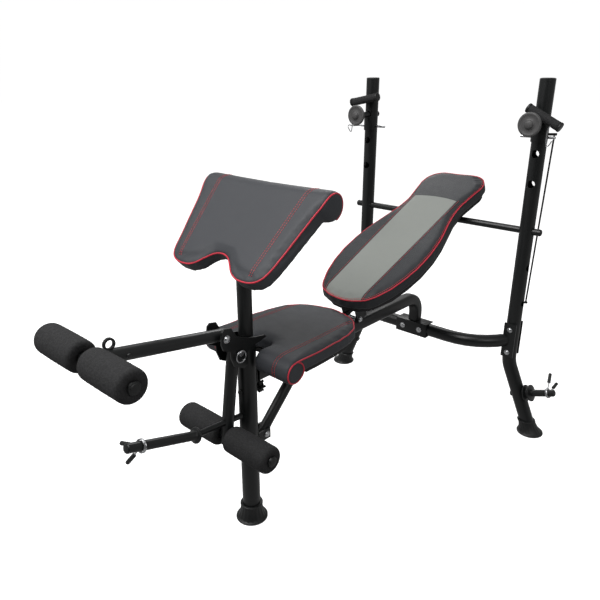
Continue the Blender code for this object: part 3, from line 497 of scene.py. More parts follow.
def rounded(side, end, radius, steps, way=1):
    """A quarter round from a flat end to a side, as (radius, height) pairs; way is -1 at a top end."""
    angles = [math.pi / 2 * k / steps for k in range(steps + 1)]
    return [(side - radius + radius * math.sin(a), end + way * radius * (1 - math.cos(a)))
            for a in angles]


def even_angles(count):
    return [2 * math.pi * k / count for k in range(count)]


def cad_copy(node):
    """A CAD node as a bmesh of its own."""
    bm = bmesh.new()
    bm.from_mesh(NODES[node].data)
    bmesh.ops.remove_doubles(bm, verts=bm.verts, dist=1e-5)
    return bm


def dress(node, finish, edge):
    """Gives a CAD node its finish, smooth shading and softly rounded edges."""
    obj = NODES[node]
    mesh = obj.data
    mesh.materials.clear()
    mesh.materials.append(finish)
    if "custom_normal" in mesh.attributes:
        mesh.attributes.remove(mesh.attributes["custom_normal"])
    mesh.shade_smooth()
    weld = obj.modifiers.new("Weld", "WELD")
    weld.merge_threshold = 1e-5
    bevel = obj.modifiers.new("Bevel", "BEVEL")
    bevel.width, bevel.segments, bevel.limit_method = edge, 2, "ANGLE"
    bevel.angle_limit, bevel.harden_normals = math.radians(32), True


# Pads

def back_frame():
    """Backrest coordinates: x across, y up the slope, z out of the face."""
    return Matrix.Translation(BACK_FOOT) @ Matrix.Rotation(BACK_ANGLE, 4, "X")


def preacher_frame():
    """Preacher coordinates: x across, y down the face, z out of it."""
    down = Vector((0, -math.cos(PREACHER_ANGLE), -math.sin(PREACHER_ANGLE)))
    out = Vector((0, -math.sin(PREACHER_ANGLE), math.cos(PREACHER_ANGLE)))
    turn = Matrix((down.cross(out), down, out)).transposed().to_4x4()
    return Matrix.Translation(PREACHER_FACE) @ turn


def softened(bm, factor, times):
    """The bmesh with each point pulled towards its neighbours."""
    for _ in range(times):
        bmesh.ops.smooth_vert(bm, verts=bm.verts, factor=factor,
                              use_axis_x=True, use_axis_y=True, use_axis_z=True)
    return bm


def stuffed(node, voxel, held):
    """The CAD pad as a stuffed cover: remeshed, smoothed and blown up as cloth.
    held(point) says which points the board keeps in place."""
    bm = cad_copy(node)
    bm.normal_update()
    for vert in bm.verts:
        vert.co -= vert.normal * PAD_SHRINK
    start = mesh_object("scratch", bm)
    remesh = start.modifiers.new("Remesh", "REMESH")
    remesh.mode, remesh.voxel_size, remesh.use_smooth_shade = "VOXEL", voxel, True
    mesh = evaluated_copy(start)
    bpy.data.objects.remove(start)
    bm = bmesh.new()
    bm.from_mesh(mesh)
    obj = mesh_object("scratch", softened(bm, 0.5, 5))
    blow_up(obj, held)
    bm = bmesh.new()
    bm.from_mesh(obj.data)
    bpy.data.objects.remove(obj)
    return softened(bm, 0.4, 2)


def blow_up(obj, held):
    """Blows the cover up as cloth, and keeps each point's move within PAD_BULGE."""
    scene = bpy.context.scene
    rest = [vert.co.copy() for vert in obj.data.vertices]
    group = obj.vertex_groups.new(name="board")
    group.add([k for k, co in enumerate(rest) if held(co)], 1.0, "REPLACE")
    cloth = obj.modifiers.new("Cloth", "CLOTH").settings
    cloth.vertex_group_mass, cloth.pin_stiffness = "board", 1.0
    cloth.use_pressure, cloth.uniform_pressure_force = True, PAD_PRESSURE
    cloth.effector_weights.gravity = 0
    cloth.quality, cloth.mass, cloth.tension_stiffness, cloth.compression_stiffness = 5, 0.4, 40, 40
    for step in range(1, CLOTH_STEPS + 1):
        scene.frame_set(step)
    blown = evaluated_copy(obj)
    scene.frame_set(1)
    obj.modifiers.clear()
    for vert, before, after in zip(obj.data.vertices, rest, blown.vertices):
        move = after.co - before
        vert.co = before + move * min(1.0, PAD_BULGE / max(move.length, 1e-9))


def outline(node, point, normal):
    """The longest loop of points where a plane cuts a CAD node, in order."""
    bm = cad_copy(node)
    bmesh.ops.bisect_plane(bm, geom=[*bm.verts, *bm.edges, *bm.faces], dist=1e-6, plane_co=point,
                           plane_no=normal, clear_inner=True, clear_outer=True)
    bmesh.ops.remove_doubles(bm, verts=bm.verts, dist=1e-5)
    loops, left = [], dict.fromkeys(bm.verts)
    while left:
        onward = [next(iter(left))]
        loop = []
        while onward:
            vert = onward[0]
            del left[vert]
            loop.append(vert.co.copy())
            onward = [e.other_vert(vert) for e in vert.link_edges if e.other_vert(vert) in left]
        loops.append(loop)
    bm.free()
    return max(loops, key=len)


def even(points, spacing, closed=False):
    """Points at an even spacing along a polyline."""
    points = [Vector(p) for p in points]
    if closed:
        points.append(points[0])
    lengths = np.cumsum([0.0] + [(b - a).length for a, b in zip(points, points[1:])])
    count = max(2, round(lengths[-1] / spacing))
    places = np.linspace(0, lengths[-1], count + 1)[:count if closed else count + 1]
    table = np.array(points)
    return [Vector([np.interp(t, lengths, table[:, k]) for k in range(3)]) for t in places]


def relaxed(points, closed, times):
    """Points pulled towards their neighbours, to round a polyline."""
    for _ in range(times):
        before, after = points[-1:] + points[:-1], points[1:] + points[:1]
        new = [p * 0.5 + (a + b) * 0.25 for p, a, b in zip(points, before, after)]
        points = new if closed else [points[0]] + new[1:-1] + [points[-1]]
    return points


def hugging(points, tree, lift):
    """Points moved onto a surface and lifted off it along its normal."""
    found = []
    for point in points:
        spot, normal, _, _ = tree.find_nearest(point)
        found.append(spot + normal * lift)
    return found


def piping(name, tree, points, body, closed, settings):
    """The sewn edge of a pad along points near its surface."""
    radius = settings.piping_radius
    path = relaxed(even(points, 0.009, closed), closed, 3)
    path = relaxed(hugging(path, tree, radius * 0.25), closed, 2)
    return piece(name, wire(path, radius, closed, 3), "piping", body)


def stitches(name, tree, lines, body, settings):
    """Rows of thread on a pad, each stitch a short rounded dash."""
    bm = bmesh.new()
    for line in lines:
        path = hugging(even(line, settings.stitch), tree, 0.0002)
        for start, end in zip(path, path[1:]):
            span = end - start
            if span.length < 1e-4:
                continue
            dash = bmesh.ops.create_uvsphere(bm, u_segments=6, v_segments=5, radius=THREAD_RADIUS)["verts"]
            bmesh.ops.scale(bm, verts=dash, vec=(1, 1, settings.stitch * 0.36 / THREAD_RADIUS))
            bmesh.ops.transform(bm, verts=dash, matrix=placed(start.lerp(end, 0.5), span))
    return piece(name, bm, "thread", body)


def finished_pad(name, bm, finish, body, node):
    """Makes the pad, and gives the tree that piping and stitches find its surface with."""
    tree = BVHTree.FromBMesh(turned_outward(bm))
    pad = piece(name, bm, finish, body, [node], sharp=180)
    subdivision = pad.modifiers.new("Subdivision", "SUBSURF")
    subdivision.levels = subdivision.render_levels = 1
    return tree


def end_round(centre, radius, x, start, end, steps):
    """Points round the end of a roll at x, from one angle to another; centre is (y, z)."""
    angles = (start + (end - start) * k / steps for k in range(steps + 1))
    return [Vector((x, centre[0] + radius * math.cos(a), centre[1] + radius * math.sin(a))) for a in angles]


class BENCH_OT_seat(Operator):
    """Seat pad with a rolled front edge, piping and stitching"""
    bl_idname = "bench.seat"
    bl_label = "Seat pad"

    def execute(self, context):
        settings = context.scene.bench_pads
        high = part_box("seat_cushion")[1]
        bm = stuffed("seat_cushion", settings.voxel, lambda co: co.z < 0.506 and co.y > 0.06)
        tree = finished_pad("seat_pad", bm, "cover", "frame", "seat_cushion")
        loop = outline("seat_cushion", Vector((0, 0, high.z - 0.007)), Z_AXIS)
        rim = [Vector((p.x, p.y, high.z - PIPING_DEPTH)) for p in loop
               if p.y > SEAT_ROLL_CENTRE[0] + 0.012 and (abs(p.x) > 0.09 or p.y > 0.2)]
        rim.sort(key=lambda p: math.atan2(p.x, p.y - 0.16))
        ends = {side: end_round(SEAT_ROLL_CENTRE, SEAT_ROLL - PIPING_DEPTH, side * (SEAT_HALF - 0.001),
                                math.radians(82), math.radians(82 + 356), 28) for side in (-1, 1)}
        piping("seat_piping", tree, ends[-1][::-1] + rim + ends[1], "frame", False, settings)
        rows = []
        for x in (-0.111, -0.103, 0.103, 0.111):
            front = end_round(SEAT_ROLL_CENTRE, SEAT_ROLL, x, math.radians(215), math.radians(90), 14)
            rows.append(front + [Vector((x, 0.17, high.z)), Vector((x * 0.94, 0.31, high.z))])
        stitches("seat_stitching", tree, rows, "frame", settings)
        return {"FINISHED"}


class BENCH_OT_backrest(Operator):
    """Waisted backrest pad with a pale panel, piping and stitching"""
    bl_idname = "bench.backrest"
    bl_label = "Backrest pad"

    def execute(self, context):
        settings = context.scene.bench_pads
        place = back_frame()
        inward = place.inverted()
        bm = stuffed("backrest_cushion", settings.voxel, lambda co: (inward @ co).z < -PAD_DEPTH)
        tree = finished_pad("backrest_pad", bm, "back", "backrest", "backrest_cushion")
        cut = place @ Vector((0, 0, -0.012))
        loop = [inward @ p for p in outline("backrest_cushion", cut, place.to_3x3() @ Z_AXIS)]
        rim = [place @ Vector((p.x, p.y, -PIPING_DEPTH)) for p in loop]
        piping("backrest_piping", tree, rim, "backrest", True, settings)
        rows = [[place @ Vector((p.x * 0.93, 0.35 + (p.y - 0.35) * 0.975, 0)) for p in loop + loop[:1]]]
        for side in (-1, 1):
            rows.append([place @ Vector((side * (panel_half(along) + 0.004), along, 0))
                         for along in (k * 0.02 for k in range(29))])
        stitches("backrest_stitching", tree, rows, "backrest", settings)
        return {"FINISHED"}


class BENCH_OT_preacher(Operator):
    """Preacher pad with two lobes, a rolled top edge, piping and stitching"""
    bl_idname = "bench.preacher"
    bl_label = "Preacher pad"

    def execute(self, context):
        settings = context.scene.bench_pads
        place = preacher_frame()
        inward = place.inverted()
        bm = stuffed("preacher_pad", settings.voxel,
                     lambda co: (inward @ co).z < -PAD_DEPTH and (inward @ co).y > -0.045)
        tree = finished_pad("preacher_cushion", bm, "cover", "preacher", "preacher_pad")
        cut = place @ Vector((0, 0, -0.008))
        loop = [inward @ p for p in outline("preacher_pad", cut, place.to_3x3() @ Z_AXIS)]
        rim = even([p for p in self.open_from_top(loop) if p.y > PREACHER_ROLL_CENTRE[0] + 0.03], 0.008)
        rim = [Vector((p.x, p.y, -PIPING_DEPTH)) for p in rim]
        half = max(p.x for p in loop) - 0.001
        ends = {side: end_round(PREACHER_ROLL_CENTRE, PREACHER_ROLL - PIPING_DEPTH, side * half,
                                math.radians(88), math.radians(300), 24) for side in (-1, 1)}
        path = [place @ p for p in ends[-1][::-1] + rim + ends[1]]
        piping("preacher_piping", tree, path, "preacher", False, settings)
        rows = []
        for x in (-0.152, -0.144, 0.144, 0.152):
            over = end_round(PREACHER_ROLL_CENTRE, PREACHER_ROLL, x, math.radians(190), math.radians(90), 10)
            face = [Vector((x * 0.987, -0.08, 0)), Vector((x * 0.835, 0.135, 0))]
            rows.append([place @ p for p in over + face])
        stitches("preacher_stitching", tree, rows, "preacher", settings)
        return {"FINISHED"}

    @staticmethod
    def open_from_top(loop):
        """The loop from its left top corner, down round the lobes, to its right top corner."""
        top = min(p.y for p in loop)
        cut = [k for k, p in enumerate(loop) if p.y < top + 0.03]
        start = max(cut, key=lambda k: -loop[k].x)
        turned_loop = loop[start:] + loop[:start]
        kept = [p for p in turned_loop if p.y > top + 0.03]
        return kept if kept[0].x < kept[-1].x else kept[::-1]


# Foam, steel and small parts

class BENCH_OT_rollers(Operator):
    """Foam leg rollers with soft rounded ends, and the plugs of their tubes"""
    bl_idname = "bench.rollers"
    bl_label = "Rollers"

    def execute(self, context):
        for level in ("upper", "lower"):
            for name, side in SIDES.items():
                self.roller(level, name, side)
        return {"FINISHED"}

    @staticmethod
    def roller(level, name, side):
        node = f"{level}_roller_{name}"
        low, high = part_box(node)
        centre = (low + high) / 2
        half, radius, bore = (high.x - low.x) / 2, (high.z - low.z) / 2, FOAM_BORE
        foot = [(bore, -half + 0.003), (bore + 0.003, -half + 0.001), (radius * 0.6, -half)]
        profile = foot + rounded(radius, -half, FOAM_ROUND, 6)
        for k in range(1, 22):
            along = -half + FOAM_ROUND + (2 * half - 2 * FOAM_ROUND) * k / 22
            crown = 0.0006 * math.cos(math.pi * along / (2 * half)) + 0.00022 * math.sin(k * 2.4 + side)
            profile.append((radius + crown, along))
        profile += rounded(radius, half, FOAM_ROUND, 6, -1)[::-1]
        profile += [(reach, -height) for reach, height in foot[::-1]]
        roll = piece(node + "_foam", turned(profile, centre, X_AXIS, 72, True), "foam", node, [node], 60)
        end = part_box(f"{level}_roller_tube")[0 if side < 0 else 1].x
        plug = [(0, 0.0030), (0.006, 0.0028), (0.0095, 0.0022), (0.0105, 0.0008), (0.0128, 0.0006),
                (0.0134, 0), (0.0134, -0.001), (0, -0.001)]
        piece(f"{level}_plug_{name}", turned(plug, (end, centre.y, centre.z), X_AXIS * side, 40),
              "plastic", "lever")


def handle_line(name, side):
    """The outer, lower end of a hung handle and the direction that it points in."""
    x, z, tilt = HANDLES[name]
    tilt = math.radians(tilt)
    along = Vector((side * math.cos(tilt), 0, -math.sin(tilt)))
    return Vector((x, HANDLE_Y, z)) + along * (HANDLE_LENGTH / 2), along


class BENCH_OT_handles(Operator):
    """Foam exercise handles with moulded ends, hung in front of the uprights, and their cords"""
    bl_idname = "bench.handles"
    bl_label = "Handles and cords"

    def execute(self, context):
        for name, side in SIDES.items():
            end, along = handle_line(name, side)
            grip = [(0.006, HANDLE_CAP)] + rounded(HANDLE_RADIUS, HANDLE_CAP, 0.003, 4)
            grip += [(HANDLE_RADIUS + 0.00025 * math.sin(k * 2.1), 0.012 + (HANDLE_LENGTH - 0.024) * k / 16)
                     for k in range(1, 16)]
            grip += rounded(HANDLE_RADIUS, HANDLE_LENGTH - HANDLE_CAP, 0.003, 4, -1)[::-1]
            grip.append((0.006, HANDLE_LENGTH - HANDLE_CAP))
            sleeve = piece(f"handle_grip_{name}", turned(grip, end, -along, 48, True), "foam", "frame",
                           [f"handle_{name}"], 60)
            cap = [(0, 0), (0.010, 0)] + rounded(0.0145, 0, 0.0022, 4)
            cap += [(0.0145, 0.0066), (0.0136, 0.0072), (0, 0.0072)]
            caps = [turned(cap, start, way, 40)
                    for start, way in ((end, -along), (end - along * HANDLE_LENGTH, along))]
            piece(f"handle_caps_{name}", merged(*caps), "plastic", "frame")
            self.cord(name, side)
        return {"FINISHED"}

    @staticmethod
    def cord(name, side):
        """The taut cord behind the upright."""
        top, foot = (Vector((side * p.x, p.y, p.z)) for p in (CORD_TOP, CORD_FOOT))
        points = [top.lerp(foot, k / 24) for k in range(25)]
        curve = tube_curve(f"pull_cord_{name}", points, 0.0028, False, 4, False)
        curve.materials.append(finishes()["rubber"])
        obj = linked(curve.name, curve)
        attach(obj, "frame")
        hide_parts(f"cord_{name}")


def steel_nodes():
    """The CAD nodes that keep their own shape, with the finish of each."""
    kinds = {"powder_coat": "coat", "zinc": "zinc", "plastic": "plastic", "rubber": "rubber",
             "plywood": "board"}
    slots = {row["node"]: row["material_slot"] for row in frame["record"]["subparts"]}
    return {node: kinds[slot] for node, slot in slots.items() if slot in kinds}


class BENCH_OT_steel(Operator):
    """Finish and softened edges of the tubes, plates and brackets"""
    bl_idname = "bench.steel"
    bl_label = "Steel parts"

    def execute(self, context):
        for node, finish in steel_nodes().items():
            if not NODES[node].hide_render:
                dress(node, finishes()[finish], context.scene.bench_parts.edge)
        return {"FINISHED"}


def hex_bolt(start, end, head):
    """A domed bolt from start to end, with washers and a locking nut behind end."""
    along, reach, radius = (end - start).normalized(), (end - start).length, BOLT_RADIUS
    dome = [(0, -0.0062), (head * 0.35, -0.0060), (head * 0.7, -0.0050), (head * 0.93, -0.0033),
            (head, -0.0018), (head, -0.0013), (head * 1.12, -0.0012), (head * 1.12, -GAP), (radius, -GAP)]
    tail = [(radius, reach + GAP), (head * 1.1, reach + GAP), (head * 1.1, reach + 0.0012),
            (radius, reach + 0.0013), (radius, reach + 0.0085), (radius * 0.85, reach + 0.0092),
            (0, reach + 0.0092)]
    shank = turned(dome + tail, start, along, 36)
    nut = bmesh.new()
    bmesh.ops.create_cone(nut, cap_ends=True, segments=6, radius1=head * 0.98, radius2=head * 0.98,
                          depth=0.005, matrix=placed(end + along * 0.0040, along))
    bmesh.ops.bevel(nut, geom=list(nut.edges), offset=0.0004, segments=2, profile=0.5, affect="EDGES",
                    material=-1)
    return merged(shank, nut)


class BENCH_OT_bolts(Operator):
    """Zinc-plated bolts, washers and nuts"""
    bl_idname = "bench.bolts"
    bl_label = "Bolts"

    def execute(self, context):
        for node, way, head, nut in self.bolts():
            low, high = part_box(node)
            centre, half = (low + high) / 2, (high - low) / 2
            span = abs(half.dot(way))
            start, end = centre - way * (span - head), centre + way * (span - nut)
            piece(node + "_set", hex_bolt(start, end, min(half) - 0.0004), "zinc", "frame", [node])
        head = [(0, 0.0062), (0.0035, 0.0060), (0.0062, 0.0048), (0.0082, 0.0028), (0.0086, 0.0014),
                (0.0100, 0.0012), (0.0100, 0.0002), (0, 0.0002)]
        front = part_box("beam_clamp")[0].y
        for name, side in reversed(SIDES.items()):
            spot = (side * CLAMP_BOLT.x, front, CLAMP_BOLT.z)
            piece(f"clamp_bolt_{name}", turned(head, spot, -Y_AXIS, 36), "zinc", "frame")
        return {"FINISHED"}

    @staticmethod
    def bolts():
        """Node, direction from head to nut, head height and nut height."""
        rows = [("pivot_bolt", -X_AXIS, 0.007, 0.010), ("hinge_bolt", -X_AXIS, 0.006, 0.009),
                ("brace_bolt", -X_AXIS, 0.006, 0.009)]
        for side in SIDES:
            rows += [(f"joint_bolt_{side}_{level}", Y_AXIS, 0.006, 0.009) for level in ("upper", "lower")]
        return rows


def spring_collar(name, spot, along, lean):
    """A spring collar: two turns of wire round a sleeve and two gripped arms."""
    sideways = along.cross(lean)
    coil = SLEEVE_RADIUS + 0.0032
    turns = []
    for k in range(61):
        angle = math.radians(18) + (2 * math.pi * 2 - math.radians(36)) * k / 60
        turns.append(spot + along * (-0.0036 + 0.0072 * k / 60)
                     + (lean * math.cos(angle) + sideways * math.sin(angle)) * coil)
    wires, grips = [wire(turns, 0.0019, sides=3)], []
    for side in (-1, 1):
        arm = lean * math.cos(COLLAR_SPREAD) + sideways * side * math.sin(COLLAR_SPREAD)
        root = spot + along * side * -0.0030
        wires.append(wire([root + arm * 0.0145, root + arm * 0.030, root + arm * 0.046], 0.0018, sides=3))
        grip = [(0, 0)] + rounded(0.0054, 0, 0.002, 4)
        grip += [(0.0054 + 0.0003 * math.sin(k * 1.7), 0.003 + 0.030 * k / 14) for k in range(1, 14)]
        grip += rounded(0.0054, 0.036, 0.002, 4, -1)[::-1] + [(0, 0.036)]
        grips.append(turned(grip, root + arm * 0.039, arm, 24))
    piece(name + "_coil", merged(*wires), "zinc", name, [name])
    piece(name + "_grips", merged(*grips), "plastic", name)


def storage_line(side):
    """Where a storage post leaves its leg, and the direction that it points in."""
    out = Vector((side * math.cos(STORAGE_ANGLE), 0, math.sin(STORAGE_ANGLE)))
    return leg_point(side, STORAGE_HEIGHT), out


class BENCH_OT_collars(Operator):
    """Spring collars of the weight sleeve and of the storage posts"""
    bl_idname = "bench.collars"
    bl_label = "Spring collars"

    def execute(self, context):
        up = WEIGHT_AXIS.cross(X_AXIS)
        up = up if up.z > 0 else -up
        lean = -X_AXIS * math.cos(COLLAR_DROP) - up * math.sin(COLLAR_DROP)
        spring_collar("lever_collar", WEIGHT_KNEE + WEIGHT_AXIS * WEIGHT_COLLAR, WEIGHT_AXIS, lean)
        for name, side in SIDES.items():
            start, out = storage_line(side)
            rise = Vector((-side * math.sin(STORAGE_ANGLE), 0, math.cos(STORAGE_ANGLE)))
            lean = Y_AXIS * math.cos(STORAGE_LEAN) + rise * math.sin(STORAGE_LEAN)
            spring_collar(f"storage_collar_{name}", start + out * STORAGE_COLLAR, out, lean)
        return {"FINISHED"}


def leg_point(side, height):
    """The point of a splayed leg's axis at a height."""
    top = Vector((side * LEG_TOP.x, LEG_TOP.y, LEG_TOP.z))
    foot = Vector((side * FOOT_CENTRE.x, FOOT_CENTRE.y, FOOT_CENTRE.z))
    return top.lerp(foot, (top.z - height) / (top.z - foot.z))


class BENCH_OT_feet(Operator):
    """Moulded feet with flutes round their necks"""
    bl_idname = "bench.feet"
    bl_label = "Feet"

    def execute(self, context):
        self.foot("front_foot", lambda height: Vector((0, 0, 0)), 0.0253, 0.045, 0.050)
        for name, side in SIDES.items():
            self.foot(f"rear_foot_{name}", lambda height: leg_point(side, max(height, FOOT_CENTRE.z)),
                      0.0236, 0.044, 0.046)
        return {"FINISHED"}

    @staticmethod
    def foot(node, axis, bore, base, height):
        """A foot round a tube, whose axis passes through axis(level) at each level."""
        neck = bore + 0.0050
        profile = [(0, 0), (base - 0.002, 0), (base, 0.0015), (base, 0.0045), (base - 0.0015, 0.0062),
                   (base - 0.005, 0.0072)]
        for k in range(13):
            share = k / 12
            flare = (base - 0.0062 - neck) * (1 - share) ** 2.1
            profile.append((neck + flare, 0.0085 + (height - 0.0135) * share))
        profile += [(neck + 0.0016, height - 0.0045), (neck + 0.0016, height - 0.0012), (neck, height),
                    (bore, height), (bore, 0.0145), (0, 0.0145)]
        bm = turned(profile, (0, 0, 0), Z_AXIS, 96)
        for vert in bm.verts:
            radius, level = vert.co.xy.length, vert.co.z
            if radius > bore + 0.002 and 0.0085 < level < height - 0.006:
                ridge = 0.0011 * abs(math.cos(9 * math.atan2(vert.co.y, vert.co.x)))
                vert.co.xy *= 1 + (ridge - 0.0006) / radius
            vert.co.xy += axis(level).xy
        piece(node + "_moulding", bm, "plastic", "frame", [node], 40)


class BENCH_OT_knob(Operator):
    """Star knob that clamps the preacher post"""
    bl_idname = "bench.knob"
    bl_label = "Knob"

    def execute(self, context):
        low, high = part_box("post_knob")
        centre = Vector((0, high.y - 0.017, (low.z + high.z) / 2))
        bm = bmesh.new()
        ring = bmesh.ops.create_circle(bm, cap_ends=True, segments=96, radius=0.0155)["verts"]
        for vert in ring:
            vert.co.xy *= 1 + 0.2 * math.cos(6 * math.atan2(vert.co.y, vert.co.x))
        face = bm.faces[:]
        for depth, inset in ((0.012, 0), (0.002, 0.0008), (0.0015, 0.0022), (0.0008, 0.004)):
            if inset:
                bmesh.ops.inset_region(bm, faces=face, thickness=inset, use_even_offset=False)
            grown = bmesh.ops.extrude_face_region(bm, geom=face)["geom"]
            face = [item for item in grown if isinstance(item, bmesh.types.BMFace)]
            verts = [item for item in grown if isinstance(item, bmesh.types.BMVert)]
            bmesh.ops.translate(bm, verts=verts, vec=(0, 0, depth))
        bmesh.ops.holes_fill(bm, edges=[edge for edge in bm.edges if edge.is_boundary])
        bm.transform(placed(centre, Y_AXIS))
        stud = turned([(0, 0), (0.0042, 0), (0.0042, 0.016), (0, 0.016)], (0, low.y, centre.z), Y_AXIS, 24)
        neck = turned([(0, 0), (0.0085, 0), (0.0095, 0.004), (0, 0.004)], centre - Y_AXIS * 0.0001,
                      Y_AXIS, 32)
        piece("post_knob_star", merged(bm, neck), "plastic", "post_knob", ["post_knob"])
        piece("post_knob_stud", stud, "zinc", "post_knob")
        return {"FINISHED"}


class BENCH_OT_rests(Operator):
    """Moulded keeper discs of the bar rests, their pins, and the ring pin of the lever"""
    bl_idname = "bench.rests"
    bl_label = "Bar rests and pins"

    def execute(self, context):
        for name, side in SIDES.items():
            low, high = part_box(f"keeper_disc_{name}")
            centre = Vector((side * UPRIGHT.x, low.y, (low.z + high.z) / 2))
            radius = (high.z - low.z) / 2
            profile = [(0, 0.0002), (0.006, 0.0006), (0.0100, 0.0018), (0.0122, 0.0042), (0.0130, 0.0070),
                       (0.0150, 0.0084), (0.0270, 0.0080), (0.0290, 0.0068), (radius - 0.0025, 0.0070),
                       (radius - 0.0008, 0.0082), (radius, 0.0100), (radius, 0.0140),
                       (radius - 0.001, 0.0158), (radius - 0.003, 0.0165), (0.0104, 0.0165),
                       (0.0104, 0.0056), (0, 0.0056)]
            piece(f"keeper_{name}", turned(profile, centre, Y_AXIS, 72), "disc", f"bar_rest_{name}",
                  [f"keeper_disc_{name}"], 40)
            self.pin(name, side)
        plunger = [(0, 0), (0.0034, 0), (0.0046, 0.0012), (0.0046, 0.0154), (0.0064, 0.0154),
                   (0.0070, 0.0160), (0.0070, 0.0206), (0.0060, 0.0214), (0, 0.0214)]
        ring = [LOCK_RING + Vector((0, math.sin(a), math.cos(a))) * 0.015 for a in even_angles(24)]
        both = merged(turned(plunger, LOCK_TIP, X_AXIS, 32), wire(ring, WIRE_RADIUS, True))
        piece("lock_pin_wire", both, "zinc", "lock_pin", ["lock_pin"])
        return {"FINISHED"}

    @staticmethod
    def pin(name, side):
        """The pin through the upright and its bent wire bail."""
        axis = Vector((side * UPRIGHT.x, UPRIGHT.y, PIN_HEIGHT))
        tip = [(0, 0), (0.0028, 0), (0.0040, 0.0012), (0.0040, PIN_LENGTH - 0.0012), (0.0030, PIN_LENGTH),
               (0, PIN_LENGTH)]
        shank = turned(tip, axis - X_AXIS * side * PIN_INNER, X_AXIS * side, 28)
        bail = wire([axis + Vector((side * x, y, z)) for x, y, z in BAIL], WIRE_RADIUS, sides=3)
        piece(f"rest_pin_{name}_wire", merged(shank, bail), "zinc", f"rest_pin_{name}",
              [f"rest_pin_{name}"])


class BENCH_OT_caps(Operator):
    """Tube caps and plugs, the bush of the front post and the weld beads"""
    bl_idname = "bench.caps"
    bl_label = "Caps and welds"

    def execute(self, context):
        cap = [(0, 0.0030), (0.012, 0.0029), (0.020, 0.0022), (0.0226, 0.0009), (0.0229, -0.0002),
               (0.0200, -0.0003), (0.0200, -0.012), (0, -0.012)]
        small = [(0, 0.002), (0.006, 0.0017), (0.0088, 0.0006), (0.0088, 0.0002), (0, 0.0002)]
        stud = [(0, 0.0042), (0.0026, 0.0040), (0.0046, 0.0028), (0.0052, 0.0010), (0.0052, -0.0006),
                (0, -0.0006)]
        for name, side in SIDES.items():
            top = Vector((side * UPRIGHT.x, UPRIGHT.y, UPRIGHT_TOP))
            self.plug(f"upright_cap_{name}", cap, top, Z_AXIS, 56)
            start, out = storage_line(side)
            self.plug(f"storage_plug_{name}", END_PLUG, start + out * STORAGE_LENGTH, out, 32)
            rod_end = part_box("incline_bar")[0 if side < 0 else 1].x
            spot = Vector((rod_end, UPRIGHT.y, INCLINE_HEIGHT))
            self.plug(f"incline_plug_{name}", small, spot, X_AXIS * side, 32, "incline_bar")
        self.plug("lever_stud", stud, LEVER_STUD, X_AXIS, 28, "lever")
        self.plug("weight_plug", END_PLUG, WEIGHT_END, WEIGHT_AXIS, 32, "lever")
        bush = [(0.0196, -0.006), (0.0202, -0.006), (0.0202, 0.0003), (0.0247, 0.0004), (0.0250, 0.0012),
                (0.0243, 0.0026), (0.0205, 0.0029), (0.0196, 0.0022)]
        piece("post_bush", turned(bush, (0, 0, POST_TOP), Z_AXIS, 64, True), "zinc", "frame")
        self.welds()
        return {"FINISHED"}

    @staticmethod
    def plug(name, profile, spot, axis, steps, body="frame"):
        """A moulded cap or plug on the end of a tube."""
        piece(name, turned(profile, spot, axis, steps), "plastic", body)

    @staticmethod
    def bead(name, path, radius):
        """A weld bead: a rippled fillet along a closed path."""
        bm = wire(even(path, 0.003, True), radius, True, 2, False)
        for vert in bm.verts:
            x, y, z = vert.co
            vert.co += Vector((math.sin(x * 900), math.sin(y * 1100), math.sin(z * 950))) * 2e-4
        piece(name, bm, "coat", "frame", sharp=180)

    def welds(self):
        """Beads round the main beam where it meets the post, and round the top of the brace."""
        turns = even_angles(40)
        joint = []
        for angle in turns:
            stretch = (abs(math.cos(angle)) ** 5 + abs(math.sin(angle)) ** 5) ** (-1 / 5)
            x, z = (BEAM_HALF * stretch * turn for turn in (math.cos(angle), math.sin(angle)))
            joint.append(Vector((x, math.sqrt(max(POST_RADIUS ** 2 - x ** 2, 0)), BEAM_HEIGHT + z)))
        self.bead("weld_beam", joint, 0.0022)
        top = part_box("diagonal_brace")[1]
        centre = Vector((0, top.y - 0.0215, top.z))
        brace = [centre + Vector((0.0155 * math.cos(a), 0.0218 * math.sin(a), 0)) for a in turns]
        self.bead("weld_brace", brace, 0.0020)


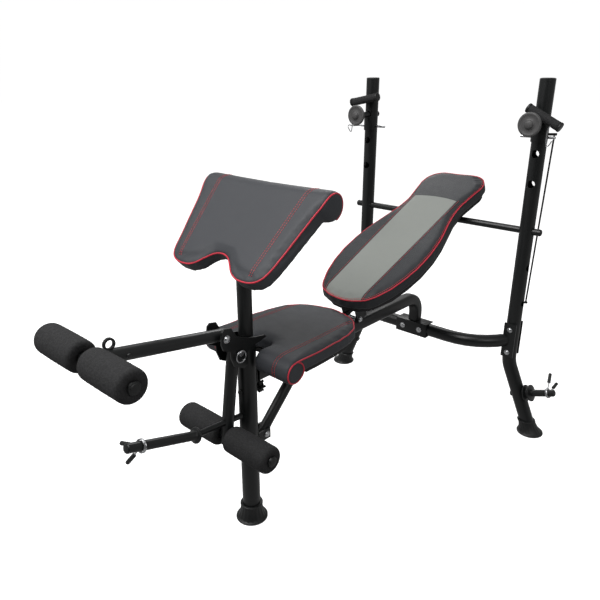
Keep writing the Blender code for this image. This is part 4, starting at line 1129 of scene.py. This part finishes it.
class BENCH_OT_stage(Operator):
    """Pale floor, white surround, soft lights and camera"""
    bl_idname = "bench.stage"
    bl_label = "Stage"

    def execute(self, context):
        scene = context.scene
        settings = scene.bench_stage
        self.floor(settings)
        self.card()
        self.world(scene, settings)
        self.dome()
        for name, place, aim, size, share in LIGHTS:
            light = bpy.data.lights.new(name, "AREA")
            light.shape, light.size, light.energy = "SQUARE", size, settings.key * share
            linked(name, light).matrix_world = placed(place, Vector(place) - Vector(aim))
        camera = bpy.data.cameras.new("camera")
        camera.lens, camera.sensor_width = CAMERA_LENS, 36.0
        view = linked("camera", camera)
        view.location, view.rotation_euler = CAMERA_PLACE, CAMERA_TURN
        scene.camera = view
        scene.view_settings.view_transform = "Standard"
        return {"FINISHED"}

    @staticmethod
    def furnish(name, bm, material, hidden_from, place=Matrix()):
        """A thing of the studio, which the named kinds of ray pass by."""
        obj = mesh_object(name, bm)
        obj.matrix_world = place
        obj.data.materials.append(material)
        for ray in hidden_from:
            setattr(obj, "visible_" + ray, False)

    def floor(self, settings):
        bm = bmesh.new()
        bmesh.ops.create_grid(bm, x_segments=1, y_segments=1, size=40)
        net = Net("studio_floor", specular=0.1, glow=settings.glow)
        tone = net.mix(net.noise(2.0, 2), settings.floor, shade(settings.floor, 1.02))
        self.furnish("studio_floor", bm, net.finish(tone, 0.6), ("diffuse", "glossy"))

    def card(self):
        """A dark card that only reflections see, to keep the tubes' sides dark."""
        bm = bmesh.new()
        bmesh.ops.create_grid(bm, x_segments=1, y_segments=1, size=1)
        bmesh.ops.scale(bm, verts=bm.verts, vec=(3.4, 2.0, 1))
        place = placed(CARD_PLACE, Vector((0, 0.4, 0.5)) - CARD_PLACE)
        self.furnish("dark_card", bm, plastic("dark_card", (0.02, 0.02, 0.02), 0.8),
                     ("camera", "diffuse", "shadow"), place)

    @staticmethod
    def world(scene, settings):
        world = bpy.data.worlds.new("studio")
        world.use_nodes = True
        background = world.node_tree.nodes["Background"]
        background.inputs["Color"].default_value = (1, 1, 1, 1)
        background.inputs["Strength"].default_value = settings.world
        scene.world = world

    def dome(self):
        """A white surround that only the camera sees."""
        bm = bmesh.new()
        bmesh.ops.create_uvsphere(bm, u_segments=48, v_segments=24, radius=DOME_RADIUS)
        white = Net("white_dome", glow=1.0).finish((0, 0, 0), 1.0)
        self.furnish("white_dome", bm, white, ("diffuse", "glossy", "shadow"))


OPERATORS = (BENCH_OT_stage, BENCH_OT_handles, BENCH_OT_seat, BENCH_OT_backrest, BENCH_OT_preacher,
             BENCH_OT_rollers, BENCH_OT_bolts, BENCH_OT_collars, BENCH_OT_feet, BENCH_OT_knob,
             BENCH_OT_rests, BENCH_OT_caps, BENCH_OT_steel)


class BENCH_PT_looks(Panel):
    """Sizes, colours and steps of the weight bench"""
    bl_idname = "BENCH_PT_looks"
    bl_label = "Weight bench"
    bl_space_type = "VIEW_3D"
    bl_region_type = "UI"
    bl_category = "Bench"

    def draw(self, context):
        for group in (context.scene.bench_pads, context.scene.bench_parts, context.scene.bench_stage):
            for name in group.__annotations__:
                self.layout.prop(group, name)
        for operator in OPERATORS:
            self.layout.operator(operator.bl_idname)


GROUPS = {"bench_pads": BENCH_PG_pads, "bench_parts": BENCH_PG_parts, "bench_stage": BENCH_PG_stage}


def register():
    for cls in (*GROUPS.values(), *OPERATORS, BENCH_PT_looks):
        bpy.utils.register_class(cls)
    for name, group in GROUPS.items():
        setattr(bpy.types.Scene, name, PointerProperty(type=group))


def unregister():
    for name in GROUPS:
        delattr(bpy.types.Scene, name)
    for cls in (BENCH_PT_looks, *reversed(OPERATORS), *reversed(GROUPS.values())):
        bpy.utils.unregister_class(cls)


def main():
    register()
    for operator in OPERATORS:
        step = operator.bl_idname.split(".")[1]
        getattr(bpy.ops.bench, step)()


if __name__ == "__main__":
    main()
